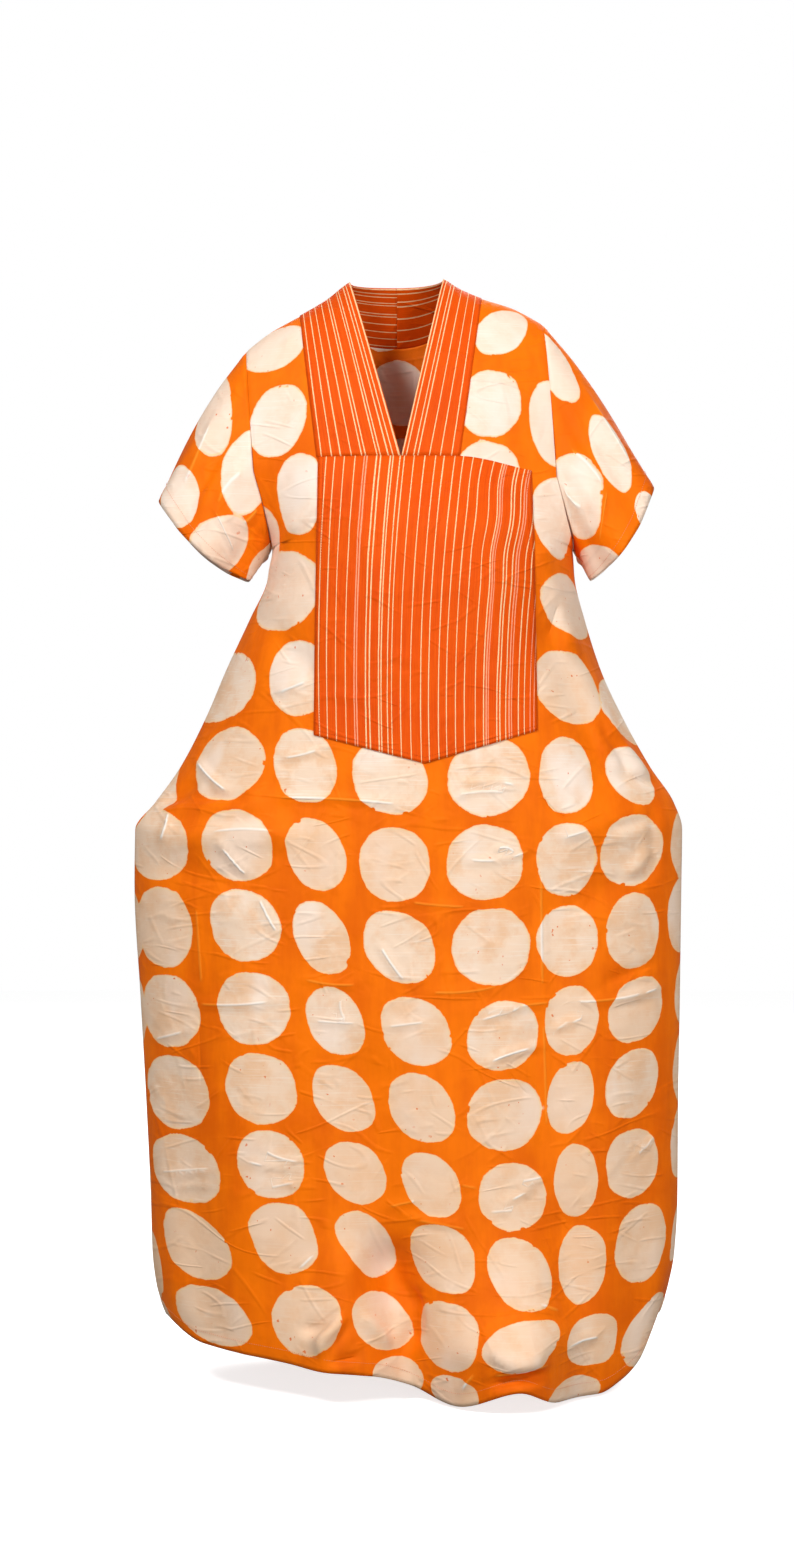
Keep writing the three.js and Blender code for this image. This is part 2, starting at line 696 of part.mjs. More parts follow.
function seamCounts(all) {
  const counts = new Map();
  for (const net of all) {
    for (const [a, b] of openEdges(net)) {
      const ends = [placeKey(net.points[a]), placeKey(net.points[b])].sort().join('|');
      counts.set(ends, (counts.get(ends) ?? 0) + 1);
    }
  }
  return counts;
}

// A closed wall: the points moved out by `raise`, and again by the cloth's thickness below that.
function wall(net, points, directions, raise) {
  const count = points.length;
  const outer = points.map((point, id) => point.clone().addScaledVector(directions[id], raise));
  const inner = points.map((point, id) => point.clone().addScaledVector(directions[id], raise - CLOTH));
  const triangles = [];
  for (const [a, b, c] of net.faces) {
    triangles.push(a, b, c);
    triangles.push(c + count, b + count, a + count);
  }
  for (const [a, b] of openEdges(net)) {
    // both pieces of a seam split their rims along the same diagonal, so the rims stay apart
    if (placeKey(net.points[a]) < placeKey(net.points[b])) {
      triangles.push(b, a, a + count);
      triangles.push(b, a + count, b + count);
    } else {
      triangles.push(b, a, b + count);
      triangles.push(a, a + count, b + count);
    }
  }
  const geometry = new THREE.BufferGeometry();
  const position = [...outer, ...inner].flatMap((point) => [point.x, point.y, point.z]);
  geometry.setAttribute('position', new THREE.Float32BufferAttribute(position, 3));
  geometry.setIndex(triangles);
  geometry.computeVertexNormals();
  return geometry;
}

function cloth(colour, roughness) {
  return new THREE.MeshStandardMaterial({ color: colour, roughness, metalness: 0 });
}

const garment = new THREE.Group();
const everyNet = Object.values(nets);
const normals = sharedNormals(everyNet);
const seams = seamCounts(everyNet);

for (const net of everyNet) {
  const directions = net.points.map((point) => normals.get(placeKey(point)));
  const striped = net.name.startsWith('neckband');
  const material = striped ? cloth(COLOURS.stripe, 0.75) : cloth(COLOURS.ground, 0.7);
  const mesh = new THREE.Mesh(wall(net, drawBack(net, normals, seams), directions, 0), material);
  mesh.name = net.name;
  garment.add(mesh);
}

// The bib lies on the front: it is made from the front's points, moved out.
function bibMesh() {
  const net = new Net('bib');
  net.patch(panelRows(front, columnsBetween(FRONT_LINES, 1, 5), CHEST_ROW, FOOT_ROW), false);
  const directions = net.points.map((point) => normals.get(placeKey(point)));
  const mesh = new THREE.Mesh(wall(net, net.points, directions, LAYER_GAP + CLOTH), cloth(COLOURS.stripe, 0.75));
  mesh.name = 'bib';
  return mesh;
}
garment.add(bibMesh());

export default garment;
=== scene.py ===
"""Kaftan dress: dotted cotton with a striped bib and neckband, made as thin cloth on the frame's solids."""

import math

import bpy
import numpy as np
from bpy.props import FloatProperty, FloatVectorProperty, IntProperty, PointerProperty
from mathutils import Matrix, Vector


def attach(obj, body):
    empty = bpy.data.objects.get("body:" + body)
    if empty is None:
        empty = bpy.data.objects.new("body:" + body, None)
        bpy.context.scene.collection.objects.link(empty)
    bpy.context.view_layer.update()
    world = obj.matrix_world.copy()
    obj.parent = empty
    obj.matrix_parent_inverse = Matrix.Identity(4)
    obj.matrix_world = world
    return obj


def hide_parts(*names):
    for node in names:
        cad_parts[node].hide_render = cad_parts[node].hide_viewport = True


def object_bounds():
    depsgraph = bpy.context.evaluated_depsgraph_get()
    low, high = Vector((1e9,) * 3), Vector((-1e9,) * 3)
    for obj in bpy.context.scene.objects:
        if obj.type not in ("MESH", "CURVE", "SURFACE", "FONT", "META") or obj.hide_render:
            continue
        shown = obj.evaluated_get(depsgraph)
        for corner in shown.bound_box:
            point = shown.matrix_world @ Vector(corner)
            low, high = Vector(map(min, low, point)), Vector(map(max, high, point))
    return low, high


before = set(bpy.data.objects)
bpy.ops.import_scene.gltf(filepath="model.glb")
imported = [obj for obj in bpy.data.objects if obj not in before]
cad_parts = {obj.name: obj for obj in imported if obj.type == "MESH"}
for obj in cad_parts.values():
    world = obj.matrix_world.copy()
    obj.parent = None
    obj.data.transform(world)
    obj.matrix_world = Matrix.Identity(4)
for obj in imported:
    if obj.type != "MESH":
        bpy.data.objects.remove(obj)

CAD_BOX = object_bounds()

bl_info = {
    "name": "Kaftan dress",
    "version": (1, 0, 0),
    "blender": (4, 5, 0),
    "location": "3D View > Sidebar > Kaftan",
    "description": "Cuts and sews a dotted kaftan dress with a striped bib and neckband",
    "category": "Object",
}

MM = 0.001

# ---------------------------------------------------------------- the garment's measurements, in millimetres
# +X is the wearer's left, -Y the front, +Z up. "right" and "left" are the wearer's.


def table(columns, *rows):
    """Named columns of numbers: table("z left", (0, 1), ...)["left"] is an array."""
    return dict(zip(columns.split(), np.array(rows, float).T))


NAPE_DEPTH, NAPE_HEIGHT = 62.0, 14.0  # the neckline at the centre back
NAPE_START = math.radians(56)  # how far round the shoulder the neckband's outer edge lies there
BAND_WIDTH = 86.0
NECK_LEFT_TOP = 59.0  # where the neckline crosses the left shoulder seam
ARMHOLE_DEPTH = {"front": 66.0, "back": 70.0}
UNDERARM, UNDERARM_RISE = -333.0, 21.0  # the underarm row's height at the sides, and its rise in the middle
BACK_FOOT = -564.0  # the back's height at the row of the bib's foot
LEVELS = (-226.0, -312.0, -590.0, -1392.0)  # a plain height for the chest, underarm, bib's foot and hem rows
SIDE_CHEST, SIDE_FOOT = -243.0, -563.0  # the chest line and the bib's foot where they meet the side edges
SIDE_END = {"right": -1308.0, "left": -1305.0}
SKIRT_EASE = 1.15
CUFF_HALF_DEPTH, CUFF_SAG, SLEEVE_FULLNESS = 60.0, 17.0, 7.0

SHOULDER_SEAM = table(
    "x z",
    (-193, -79), (-163, -56), (-122, -33), (-90, -14), (-60, 9), (0, 34),
    (59, 13), (80, 0), (106, -11), (147, -24), (187, -45),
)
SIDE_EDGES = table(
    "z right left",
    (-240, -180, 199), (-290, -167, 213), (-333, -160, 225), (-372, -166, 228),
    (-420, -188, 240), (-488, -220, 262), (-544, -244, 288), (-610, -278, 325),
    (-655, -310, 355), (-690, -336, 366), (-760, -337, 365), (-909, -329, 363),
    (-1037, -322, 361), (-1165, -316, 360), (-1230, -314, 356), (-1275, -308, 347),
    (-1310, -296, 336),
)
DEPTHS = table(
    "z front back edge",
    (-226, 112, 122, 1.0), (-270, 134, 126, 1.05), (-320, 150, 126, 1.3), (-400, 156, 124, 1.5),
    (-520, 156, 134, 1.45), (-640, 157, 146, 1.4), (-800, 155, 148, 1.45), (-1000, 152, 150, 1.55),
    (-1200, 150, 156, 1.6), (-1392, 148, 164, 1.7),
)
CHEST_LINE = table("x z", (-183, -240), (-98, -226), (76, -226), (168, -241), (205, -246))
BIB_FOOT = table("x z", (-248, -564), (-102, -572), (34, -607), (173, -566), (293, -564))
FRONT_HEM = table(
    "x z",
    (-292, -1308), (-243, -1332), (-184, -1338), (-120, -1342), (-31, -1354), (16, -1372), (71, -1388),
    (147, -1362), (198, -1384), (250, -1388), (280, -1376), (303, -1358), (332, -1305),
)
BACK_HEM = table(
    "x z", (-292, -1308), (-200, -1352), (-60, -1386), (80, -1392), (220, -1372), (332, -1305)
)

# Sewn lines down each panel, from the right side to the left: where they lie across at the shoulder,
# at the chest line, at the foot of the bib and at the hem, and the steps to the next line.
FRONT_LINES = table(
    "top chest foot hem steps",
    (-193, 0, 0, 0, 44), (-122, -98, -102, -112, 28), (-60, 5, 8, 16, 8), (0, 30, 34, 46, 14),
    (106, 76, 82, 98, 18), (152, 168, 173, 192, 36), (187, 0, 0, 0, 0),
)
BACK_LINES = table(
    "top chest foot hem steps",
    (-193, 0, 0, 0, 24), (-122, -105, -107.1, -112, 15), (0, 6, 10.8, 22, 15),
    (106, 112, 123.4, 150, 8), (152, 160, 177.4, 218, 22), (187, 0, 0, 0, 0),
)


# Folds and creases: a soft ridge (rise above 0) or trough along a line. x and z where it starts and ends.
FRONT_FOLDS = table(
    "x0 z0 x1 z1 rise width",
    (-168, -388, -110, -280, 7, 18),  # drape from the right armhole
    (-170, -425, -116, -480, -6, 20),
    (187, -350, 222, -452, 12, 15),  # long fold from the left armhole to the hand
    (222, -452, 303, -612, 15, 17),
    (250, -440, 334, -626, -11, 15),
    (190, -450, 256, -620, -6, 17),
    (-316, -662, -180, -656, 7, 16),  # pulls from the right hand
    (-300, -700, -146, -696, 6, 17),
    (-308, -734, -196, -752, -6, 20),
    (345, -672, 226, -690, 7, 20),  # pulls from the left hand
    (338, -722, 240, -770, -6, 22),
    (-200, -760, -186, -1180, 6, 42),
    (190, -800, 186, -1130, -6, 36),
    (-38, -1000, -6, -1240, -9, 38),  # between the feet
    (-6, -1230, 20, -1390, -28, 32),
    (206, -1190, 222, -1390, -13, 30),
    (92, -1322, 196, -1308, 12, 24),
    (-66, -1230, -92, -1345, 10, 26),
    (-286, -1010, -236, -1310, -9, 32),
    (320, -1020, 300, -1300, -8, 28),
)
BACK_FOLDS = table(
    "x0 z0 x1 z1 rise width",
    (-196, -470, -232, -1340, 12, 34),
    (-128, -560, -150, -1380, -13, 32),
    (-52, -430, -62, -1390, 13, 32),
    (26, -600, 30, -1390, -14, 32),
    (104, -500, 122, -1390, 12, 32),
    (178, -640, 208, -1370, -12, 32),
    (230, -520, 286, -1330, 9, 30),
    (-150, -250, -70, -420, 6, 22),
    (168, -250, 84, -420, 6, 22),
)
FOOT_BULGES = table("x z wide tall out", (150, -1372, 74, 120, 78), (-84, -1350, 70, 95, 30))

# Rows run down a panel: 0 is the shoulder seam, and these are the rows where something begins.
CHEST_ROW, UNDERARM_ROW, FOOT_ROW, HEM_ROW = 9, 14, 24, 48
ROWS = np.concatenate([
    np.linspace(0, CHEST_ROW, 55)[:-1],
    np.linspace(CHEST_ROW, UNDERARM_ROW, 21)[:-1],
    np.linspace(UNDERARM_ROW, FOOT_ROW, 61)[:-1],
    np.linspace(FOOT_ROW, HEM_ROW, 169),
])
SHOULDER_ROWS = int(np.searchsorted(ROWS, CHEST_ROW)) + 1
ARMHOLE_ROWS = int(np.searchsorted(ROWS, UNDERARM_ROW)) + 1


def lerp(a, b, t):
    return a + (b - a) * t


def smoothstep(x, low, high):
    t = np.clip((x - low) / (high - low), 0, 1)
    return t * t * (3 - 2 * t)


def curve(rows, key, column):
    """A smooth curve through a table's rows that never overshoots them."""
    order = np.argsort(rows[key])
    xs, ys = rows[key][order], rows[column][order]
    slopes = np.diff(ys) / np.diff(xs)
    product = slopes[:-1] * slopes[1:]
    total = np.where(product > 0, slopes[:-1] + slopes[1:], 1)
    inner = np.where(product > 0, 2 * product / total, 0)
    tangents = np.concatenate([slopes[:1], inner, slopes[-1:]])

    def at(x):
        x = np.clip(x, xs[0], xs[-1])
        k = np.clip(np.searchsorted(xs, x, side="right") - 1, 0, len(xs) - 2)
        span = xs[k + 1] - xs[k]
        t = (x - xs[k]) / span
        bend = (1 - t) * tangents[k] - t * tangents[k + 1]
        return lerp(ys[k], ys[k + 1], t * t * (3 - 2 * t)) + span * t * (1 - t) * bend

    return at


shoulder_height = curve(SHOULDER_SEAM, "x", "z")
chest_height = curve(CHEST_LINE, "x", "z")
EDGE = {"right": curve(SIDE_EDGES, "z", "right"), "left": curve(SIDE_EDGES, "z", "left")}
ROUNDNESS = curve(DEPTHS, "z", "edge")


def by_line(x0, z0, x1, z1, x, z):
    """Where x, z lies by a line: how far along it, 0 to 1, how far beside it, and the line's length."""
    dx, dz = x1 - x0, z1 - z0
    length = math.hypot(dx, dz)
    return ((x - x0) * dx + (z - z0) * dz) / length**2, ((x - x0) * dz - (z - z0) * dx) / length, length


def ridges(folds, x, z):
    """The height of all the folds of a table at the places x, z."""
    height = np.zeros(np.broadcast(x, z).shape)
    for *ends, rise, width in zip(*folds.values()):
        along, beside, length = by_line(*ends, x, z)
        beyond = np.maximum(0, np.maximum(-along, along - 1)) * length
        height += rise * np.exp(-((beyond / (1.2 * width)) ** 2) - (beside / width) ** 2)
    return height


def armhole_turn(rows):
    """A quarter turn from the chest line down to the underarm."""
    return np.clip((rows - CHEST_ROW) / (UNDERARM_ROW - CHEST_ROW), 0, 1) * math.pi / 2


def down_skirt(rows):
    """How far down the skirt each row lies, 0 at the bib's foot and 1 at the hem."""
    return np.clip((rows - FOOT_ROW) / (HEM_ROW - FOOT_ROW), 0, 1) ** SKIRT_EASE


def down_rows(heights, rows):
    """The height at each row, between the four landmark heights: chest, underarm, foot of the bib, hem."""
    chest, underarm, foot, hem = heights
    waist = (rows - UNDERARM_ROW) / (FOOT_ROW - UNDERARM_ROW)
    upper = lerp(chest, underarm, np.sin(armhole_turn(rows)))
    lower = np.where(rows <= FOOT_ROW, lerp(underarm, foot, waist), lerp(foot, hem, down_skirt(rows)))
    return np.where(rows <= UNDERARM_ROW, upper, lower)


class Panel:
    """The front or the back of the dress: points at any row and column of it."""

    def __init__(self, side, lines, hem, folds):
        self.side, self.lines, self.folds = side, lines, folds
        self.sign = -1 if side == "front" else 1
        self.hem = curve(hem, "x", "z")
        self.middle = curve(DEPTHS, "z", side)
        self.last = len(lines["top"]) - 1
        counts = lines["steps"].astype(int)
        self.line = np.concatenate([np.full(n, k) for k, n in enumerate(counts)] + [[self.last - 1]])
        self.part = np.concatenate([np.arange(n) / n for n in counts if n] + [[1.0]])

    def foot(self, x):
        if self.side == "front":
            return np.interp(x, BIB_FOOT["x"], BIB_FOOT["z"])
        return np.full(np.shape(x), BACK_FOOT)

    def landmark(self, k, rows):
        """How far across sewn line k lies at each row."""
        if k in (0, self.last):
            side = "right" if k == 0 else "left"
            edge = EDGE[side]
            heights = (chest_height(edge(SIDE_CHEST)), UNDERARM, self.foot(edge(SIDE_FOOT)), SIDE_END[side])
            return edge(down_rows(heights, rows))
        chest, foot, hem = (self.lines[c][k] for c in ("chest", "foot", "hem"))
        upper = lerp(chest, foot, (rows - CHEST_ROW) / (FOOT_ROW - CHEST_ROW))
        return np.where(rows <= FOOT_ROW, upper, lerp(foot, hem, down_skirt(rows)))

    def across(self, rows, line, part):
        """x at every row (down) and column (across)."""
        marks = np.stack([self.landmark(k, rows) for k in range(self.last + 1)])
        a, b = marks[line].T, marks[line + 1].T
        near = lambda t: lerp(t, np.sin(t * math.pi / 2), 0.55)
        weight = np.where(line == 0, 1 - near(1 - part), np.where(line == self.last - 1, near(part), part))
        return lerp(a, b, weight), marks[0][:, None], marks[-1][:, None]

    def place(self, rows, line=None, part=None):
        """Points at rows from the chest line down."""
        line = self.line if line is None else line
        part = self.part if part is None else part
        x, right, left = self.across(rows, line, part)
        share = np.clip((2 * x - right - left) / (left - right), -1, 1)
        at = lambda row: self.across(np.array([float(row)]), line, part)[0]
        heights = (
            chest_height(at(CHEST_ROW)),
            UNDERARM + UNDERARM_RISE * (1 - share**2),
            self.foot(at(FOOT_ROW)),
            self.hem(at(HEM_ROW)),
        )
        column = rows[:, None]
        z = down_rows(heights, column)
        level = down_rows(LEVELS, column)
        # at the armholes the panels stand apart, and from the underarm down they meet at the side seams
        fade = 1 - smoothstep(-level, 200, 470)
        edge = ARMHOLE_DEPTH[self.side] * lerp(fade, np.cos(armhole_turn(column)), np.abs(share) ** 20)
        arc = np.maximum(0, 1 - np.abs(share) ** 2.2) ** (1 / ROUNDNESS(level))
        raised = ridges(self.folds, x, z)
        if self.side == "front":
            for bx, bz, wide, tall, out in zip(*FOOT_BULGES.values()):
                raised = raised + out * np.exp(-(((x - bx) / wide) ** 2) - ((z - bz) / tall) ** 2)
        depth = edge + (self.middle(level) - edge) * arc + (1 - np.abs(share) ** 6) * raised
        return np.stack([x, self.sign * depth, z + 0 * x], axis=-1)

    def tops(self, line, part):
        """Where each column starts, and how far round the shoulder it already is there."""
        top = self.lines["top"]
        x = lerp(top[line], top[line + 1], part)
        if self.side == "front":
            steps = self.lines["steps"]
            done = np.where(line == 2, part * steps[2], steps[2] + part * steps[3])
            left_band = (line == 2) | (line == 3)
            x = np.where(left_band, lerp(NECK_LEFT_TOP, top[4], done / (steps[2] + steps[3])), x)
            return np.stack([x, 0 * x, shoulder_height(x)], axis=-1), 0 * x
        behind = (line == 1) | (line == 2)
        turn = np.clip(line - 1 + part, 0, 2) * math.pi / 2
        points = np.stack([x, 0 * x, shoulder_height(x)], axis=-1)
        start = np.where(behind, NAPE_START * np.sin(turn) ** 2, 0)
        return np.where(behind[:, None], band_edge_behind(turn), points), start

    def grid(self, rows=ROWS, line=None, part=None):
        """All the points, from the shoulder seam or the neckband's edge to the hem."""
        line = self.line if line is None else line
        part = self.part if part is None else part
        upper, lower = rows[rows < CHEST_ROW], rows[rows >= CHEST_ROW]
        below = self.place(lower, line, part)
        low = below[0]
        top, start = self.tops(line, part)
        # how far round the arc the chest line is reached: less in the middle of the front, where it lies flat
        if self.side == "front":
            share = np.minimum(1, np.abs(low[:, 0] - 10) / 190) ** 2
            end = lerp(math.radians(65), math.radians(90), share)
        else:
            end = np.full(len(low), math.radians(84))
        t = (upper / CHEST_ROW)[:, None]
        return np.concatenate([over_shoulder(top, low, start, end, t), below])


def over_shoulder(top, low, start, end, t):
    """Arcs from points of the shoulder seam down to points of the chest line."""
    angle = lerp(start, end, t)
    forward = (np.sin(angle) - np.sin(start)) / (np.sin(end) - np.sin(start))
    down = (np.cos(start) - np.cos(angle)) / (np.cos(start) - np.cos(end))
    steps = np.stack([down, forward, down], axis=-1)
    return lerp(top[None], low[None], steps)


def behind_neck(turn, right_end, left_end, depth, height):
    """An arc behind the neck, from the right shoulder (turn 0) to the left one (turn pi)."""
    x = np.where(turn < math.pi / 2, right_end, left_end)
    share = np.sin(turn)
    z = lerp(shoulder_height(x), height, share**2)
    return np.stack([np.abs(np.cos(turn)) * x, share * depth, z], axis=-1)


def band_edge_behind(turn):
    """The neckband's outer edge behind the neck."""
    depth = NAPE_DEPTH + BAND_WIDTH * math.cos(NAPE_START)
    height = NAPE_HEIGHT - BAND_WIDTH * math.sin(NAPE_START)
    return behind_neck(turn, FRONT_LINES["top"][1], FRONT_LINES["top"][4], depth, height)


def neckline_behind(turn):
    """The neckband's inner edge behind the neck."""
    return behind_neck(turn, FRONT_LINES["top"][2], NECK_LEFT_TOP, NAPE_DEPTH, NAPE_HEIGHT)


def band_grid(side, columns=27):
    """A half of the neckband: rows from the V up to the shoulder and on to the centre back."""
    across = np.linspace(0, 1, columns)
    if side == "right":
        line, part = np.full(columns, 1), across
    else:
        first = FRONT_LINES["steps"][2] / (FRONT_LINES["steps"][2] + FRONT_LINES["steps"][3])
        line = np.where(across < first, 2, 3)
        part = np.where(across < first, across / first, (across - first) / (1 - first))
    rows = np.linspace(0, CHEST_ROW, 60)
    rising = FRONT.grid(rows, line, part)[::-1]
    turn = np.linspace(0, math.pi / 2, 44)[1:, None]
    if side == "right":
        edges = band_edge_behind(turn), neckline_behind(turn)
    else:
        edges = neckline_behind(math.pi - turn), band_edge_behind(math.pi - turn)
    behind = lerp(*edges, across[None, :, None])
    seam = rising[-1, :, 2]
    level = lerp(seam[0], seam[-1], across)
    behind[..., 2] += (seam - level) * np.cos(turn) ** 2
    return np.concatenate([rising, behind])


# The highest and the lowest point of each cuff, and which way round its rings of points run.
CUFFS = {
    "right": {"top": (-304, -6, -268), "bottom": (-187, -10, -372)},
    "left": {"top": (327, -4, -251), "bottom": (246, -10, -371)},
}
OUTWARD = {"right": -1, "left": 1}
SLEEVE_FOLDS = table(
    "turn rise width", (62, -7, 15), (98, 7, 14), (132, -5, 14), (240, -7, 18), (285, 6, 18)
)


def turns_along(points):
    """The turn round the sleeve by length along one half of the armhole, 0 to pi."""
    lengths = np.concatenate([[0], np.cumsum(np.linalg.norm(np.diff(points, axis=0), axis=1))])
    return lengths / lengths[-1] * math.pi


def sleeve_grid(side, front_grid, back_grid, steps=34):
    """Rings from the armhole to the cuff. Returns the points, the turn of each column and s of each row."""
    column = 0 if side == "right" else -1
    front_edge = front_grid[:ARMHOLE_ROWS, column]
    back_edge = back_grid[:ARMHOLE_ROWS, column]
    root = np.concatenate([front_edge, back_edge[::-1]])
    turn = np.concatenate([turns_along(front_edge), 2 * math.pi - turns_along(back_edge)[::-1]])
    keep = np.r_[True, np.linalg.norm(np.diff(root, axis=0), axis=1) > 1e-6]
    root, turn = root[keep], turn[keep]
    top, bottom = (np.array(CUFFS[side][end], float) for end in ("top", "bottom"))
    middle = (top + bottom) / 2
    half = top - middle
    sag = CUFF_SAG * np.abs(np.sin(turn)) ** 1.5
    cuff = middle + half * np.cos(turn)[:, None]
    cuff[:, 0] += np.sign(middle[0]) * sag * 0.35
    cuff[:, 1] -= CUFF_HALF_DEPTH * np.sin(turn)
    cuff[:, 2] -= sag
    out = half / np.linalg.norm(half) * np.cos(turn)[:, None]
    out[:, 1] -= np.sin(turn)
    s = np.linspace(0, 1, steps)[:, None]
    full = SLEEVE_FULLNESS * np.sin(math.pi * s) * (0.5 + 0.5 * np.cos(turn))
    folds = sum(
        rise * np.exp(-(((turn - math.radians(at)) / math.radians(width)) ** 2))
        for at, rise, width in zip(*SLEEVE_FOLDS.values())
    )
    rise = full + folds * np.sin(np.minimum(1, s * 1.15) * math.pi * 0.62)
    return lerp(root[None], cuff[None], s[..., None]) + out * rise[..., None], turn, s


# ---------------------------------------------------------------- creases and the printed dots

# Creases of the front: thin ridges (rise above 0) and dents, each along a bowed line.
FRONT_CREASES = table(
    "x0 z0 x1 z1 bow rise width",
    (-257, -597, -204, -646, -4, 3.4, 5), (-225, -697, -179, -750, -2, 3.0, 5),
    (-172, -766, -143, -820, -2, 2.2, 5), (-24, -823, 13, -877, -2, 2, 5),
    (176, -638, 227, -679, -9, -2.6, 4.5), (133, -970, 172, -1021, -6, -1.6, 5),
    (-303, -654, -179, -652, 5, -4.0, 8), (-301, -659, -247, -628, 2, -4.6, 8),
    (269, -618, 334, -631, -2, -3.4, 7), (256, -689, 323, -673, -2, -3.0, 7),
    (276, -749, 326, -706, -5, 3.6, 10), (258, -538, 330, -640, -4, 3.6, 7),
    (244, -556, 266, -600, 0, 2.4, 7), (272, -566, 296, -622, 0, -3.0, 8),
    (-287, -664, -299, -708, 3, 2.6, 6), (322, -654, 316, -760, 3, -3.0, 8),
    (-173, -649, 28, -660, 4, 1.6, 6), (-241, -694, -137, -692, 5, 1.6, 5),
    (-152, -522, -105, -504, 0, 2, 5), (-147, -601, -90, -588, -2, 1.6, 5),
    (72, -634, 158, -638, 7, 1.8, 5), (65, -648, 147, -645, 5, 1.2, 4), (203, -699, 236, -689, 0, 1.6, 5),
    (75, -721, 173, -707, -11, 1.6, 5), (114, -717, 149, -722, 10, 2, 4), (4, -774, 96, -782, -2, 1.3, 5),
    (26, -885, 141, -875, -6, 1.4, 6), (255, -879, 331, -855, 0, -2.2, 7),
    (260, -905, 339, -887, 0, 1.8, 6), (90, -909, 203, -900, 0, 1.4, 5), (203, -900, 330, -889, -5, 1.6, 6),
    (191, -935, 236, -919, 0, 1.6, 5), (186, -941, 221, -919, 0, 1.3, 4), (95, -923, 164, -903, 0, 1.6, 5),
    (103, -977, 188, -953, 4, 2.6, 5), (-315, -958, -246, -935, 0, 1.3, 5),
    (-264, -905, -137, -896, -4, 1.5, 6), (-124, -868, -40, -876, -5, 1.4, 5),
    (-109, -922, -44, -925, 0, 1.3, 5), (-17, -929, 40, -922, 0, 1.2, 5),
    (-67, -888, -59, -925, -6, 1.2, 4), (-289, -1129, -222, -1114, 0, 1.3, 4),
    (-283, -1141, -227, -1131, 0, 1.2, 4), (-312, -1125, -219, -1108, 0, 1, 4),
    (-195, -1094, -113, -1104, -4, 1.6, 4.5), (-172, -1077, -111, -1095, -6, 1.4, 4.5),
    (-162, -1130, -121, -1120, 0, 1.2, 4), (115, -1149, 181, -1114, -6, 1.8, 5),
    (146, -1121, 184, -1115, 0, 1.4, 4), (110, -1156, 150, -1154, 0, 1.1, 4),
    (76, -1122, 100, -1127, 0, 1.1, 4), (-16, -1152, 30, -1140, 0, 1.4, 4),
    (2, -1161, 83, -1173, 0, 1.5, 5), (4, -1161, 99, -1179, 0, 1.2, 4), (176, -712, 179, -911, 0, 1.5, 5),
    (179, -897, 185, -1084, 0, 1.3, 5), (-251, -765, -241, -900, 0, 1.2, 6),
    (-247, -902, -245, -1027, 0, -1.2, 6), (291, -1061, 331, -1106, 0, 1.4, 4),
    (295, -1102, 329, -1071, 0, 1.2, 4), (-120, -1227, -101, -1208, 0, 1.6, 5),
    (-120, -1302, -68, -1272, -4, -8.5, 7.5), (-95, -1329, -65, -1276, 5, 9.5, 7.5),
    (-84, -1333, -42, -1328, 0, -3.4, 5), (-44, -1276, -7, -1324, 0, 5, 7.5),
    (12, -1245, 13, -1330, 10, -7.5, 9), (105, -1309, 184, -1315, -15, 6.5, 9),
    (104, -1344, 192, -1331, 0, 4.6, 6), (109, -1354, 184, -1343, 4, -7.5, 7),
    (95, -1342, 77, -1369, 0, 2.2, 6), (171, -1264, 201, -1279, 0, 1.6, 6),
    (206, -1322, 252, -1317, 3, 3.2, 5.5), (-117, -284, -168, -379, 0, 2.4, 9),
    (-99, -280, -132, -322, 0, 1.8, 7), (-83, -455, -92, -528, 0, 0.8, 8),
    (204, -402, 188, -452, 0, -1.6, 6),
)
BACK_CREASES = table(
    "x0 z0 x1 z1 bow rise width",
    (-210, -520, -120, -560, 8, 1.6, 6), (-80, -470, 40, -492, -6, 1.8, 6),
    (90, -540, 190, -500, 8, 1.8, 6), (-290, -690, -190, -700, 4, -2.2, 8),
    (330, -690, 220, -705, 5, 2.0, 8), (-150, -780, -95, -850, -4, 2.0, 5), (10, -740, 96, -752, 6, 1.5, 5),
    (150, -820, 210, -900, 5, 2.0, 5), (-240, -900, -130, -914, -5, 1.5, 6),
    (-60, -930, 30, -905, 6, 1.6, 5), (80, -1010, 170, -990, -5, 1.6, 6),
    (-190, -1090, -110, -1100, 5, 1.4, 5), (-20, -1120, 90, -1135, -5, 1.5, 5),
    (190, -1150, 280, -1130, 4, 1.5, 5), (-250, -1180, -160, -1195, 4, 1.3, 5),
    (-96, -1250, -40, -1310, 6, 2.4, 7), (60, -1230, 96, -1320, -8, -2.6, 7),
    (200, -1270, 250, -1330, 6, 2.2, 7), (-120, -180, -60, -230, 0, 1.8, 7),
    (150, -190, 90, -240, 0, 1.8, 7), (-30, -330, 60, -345, -6, 1.4, 6),
)

SLEEVE_LENGTH, CUFF_HEM = 190, 15
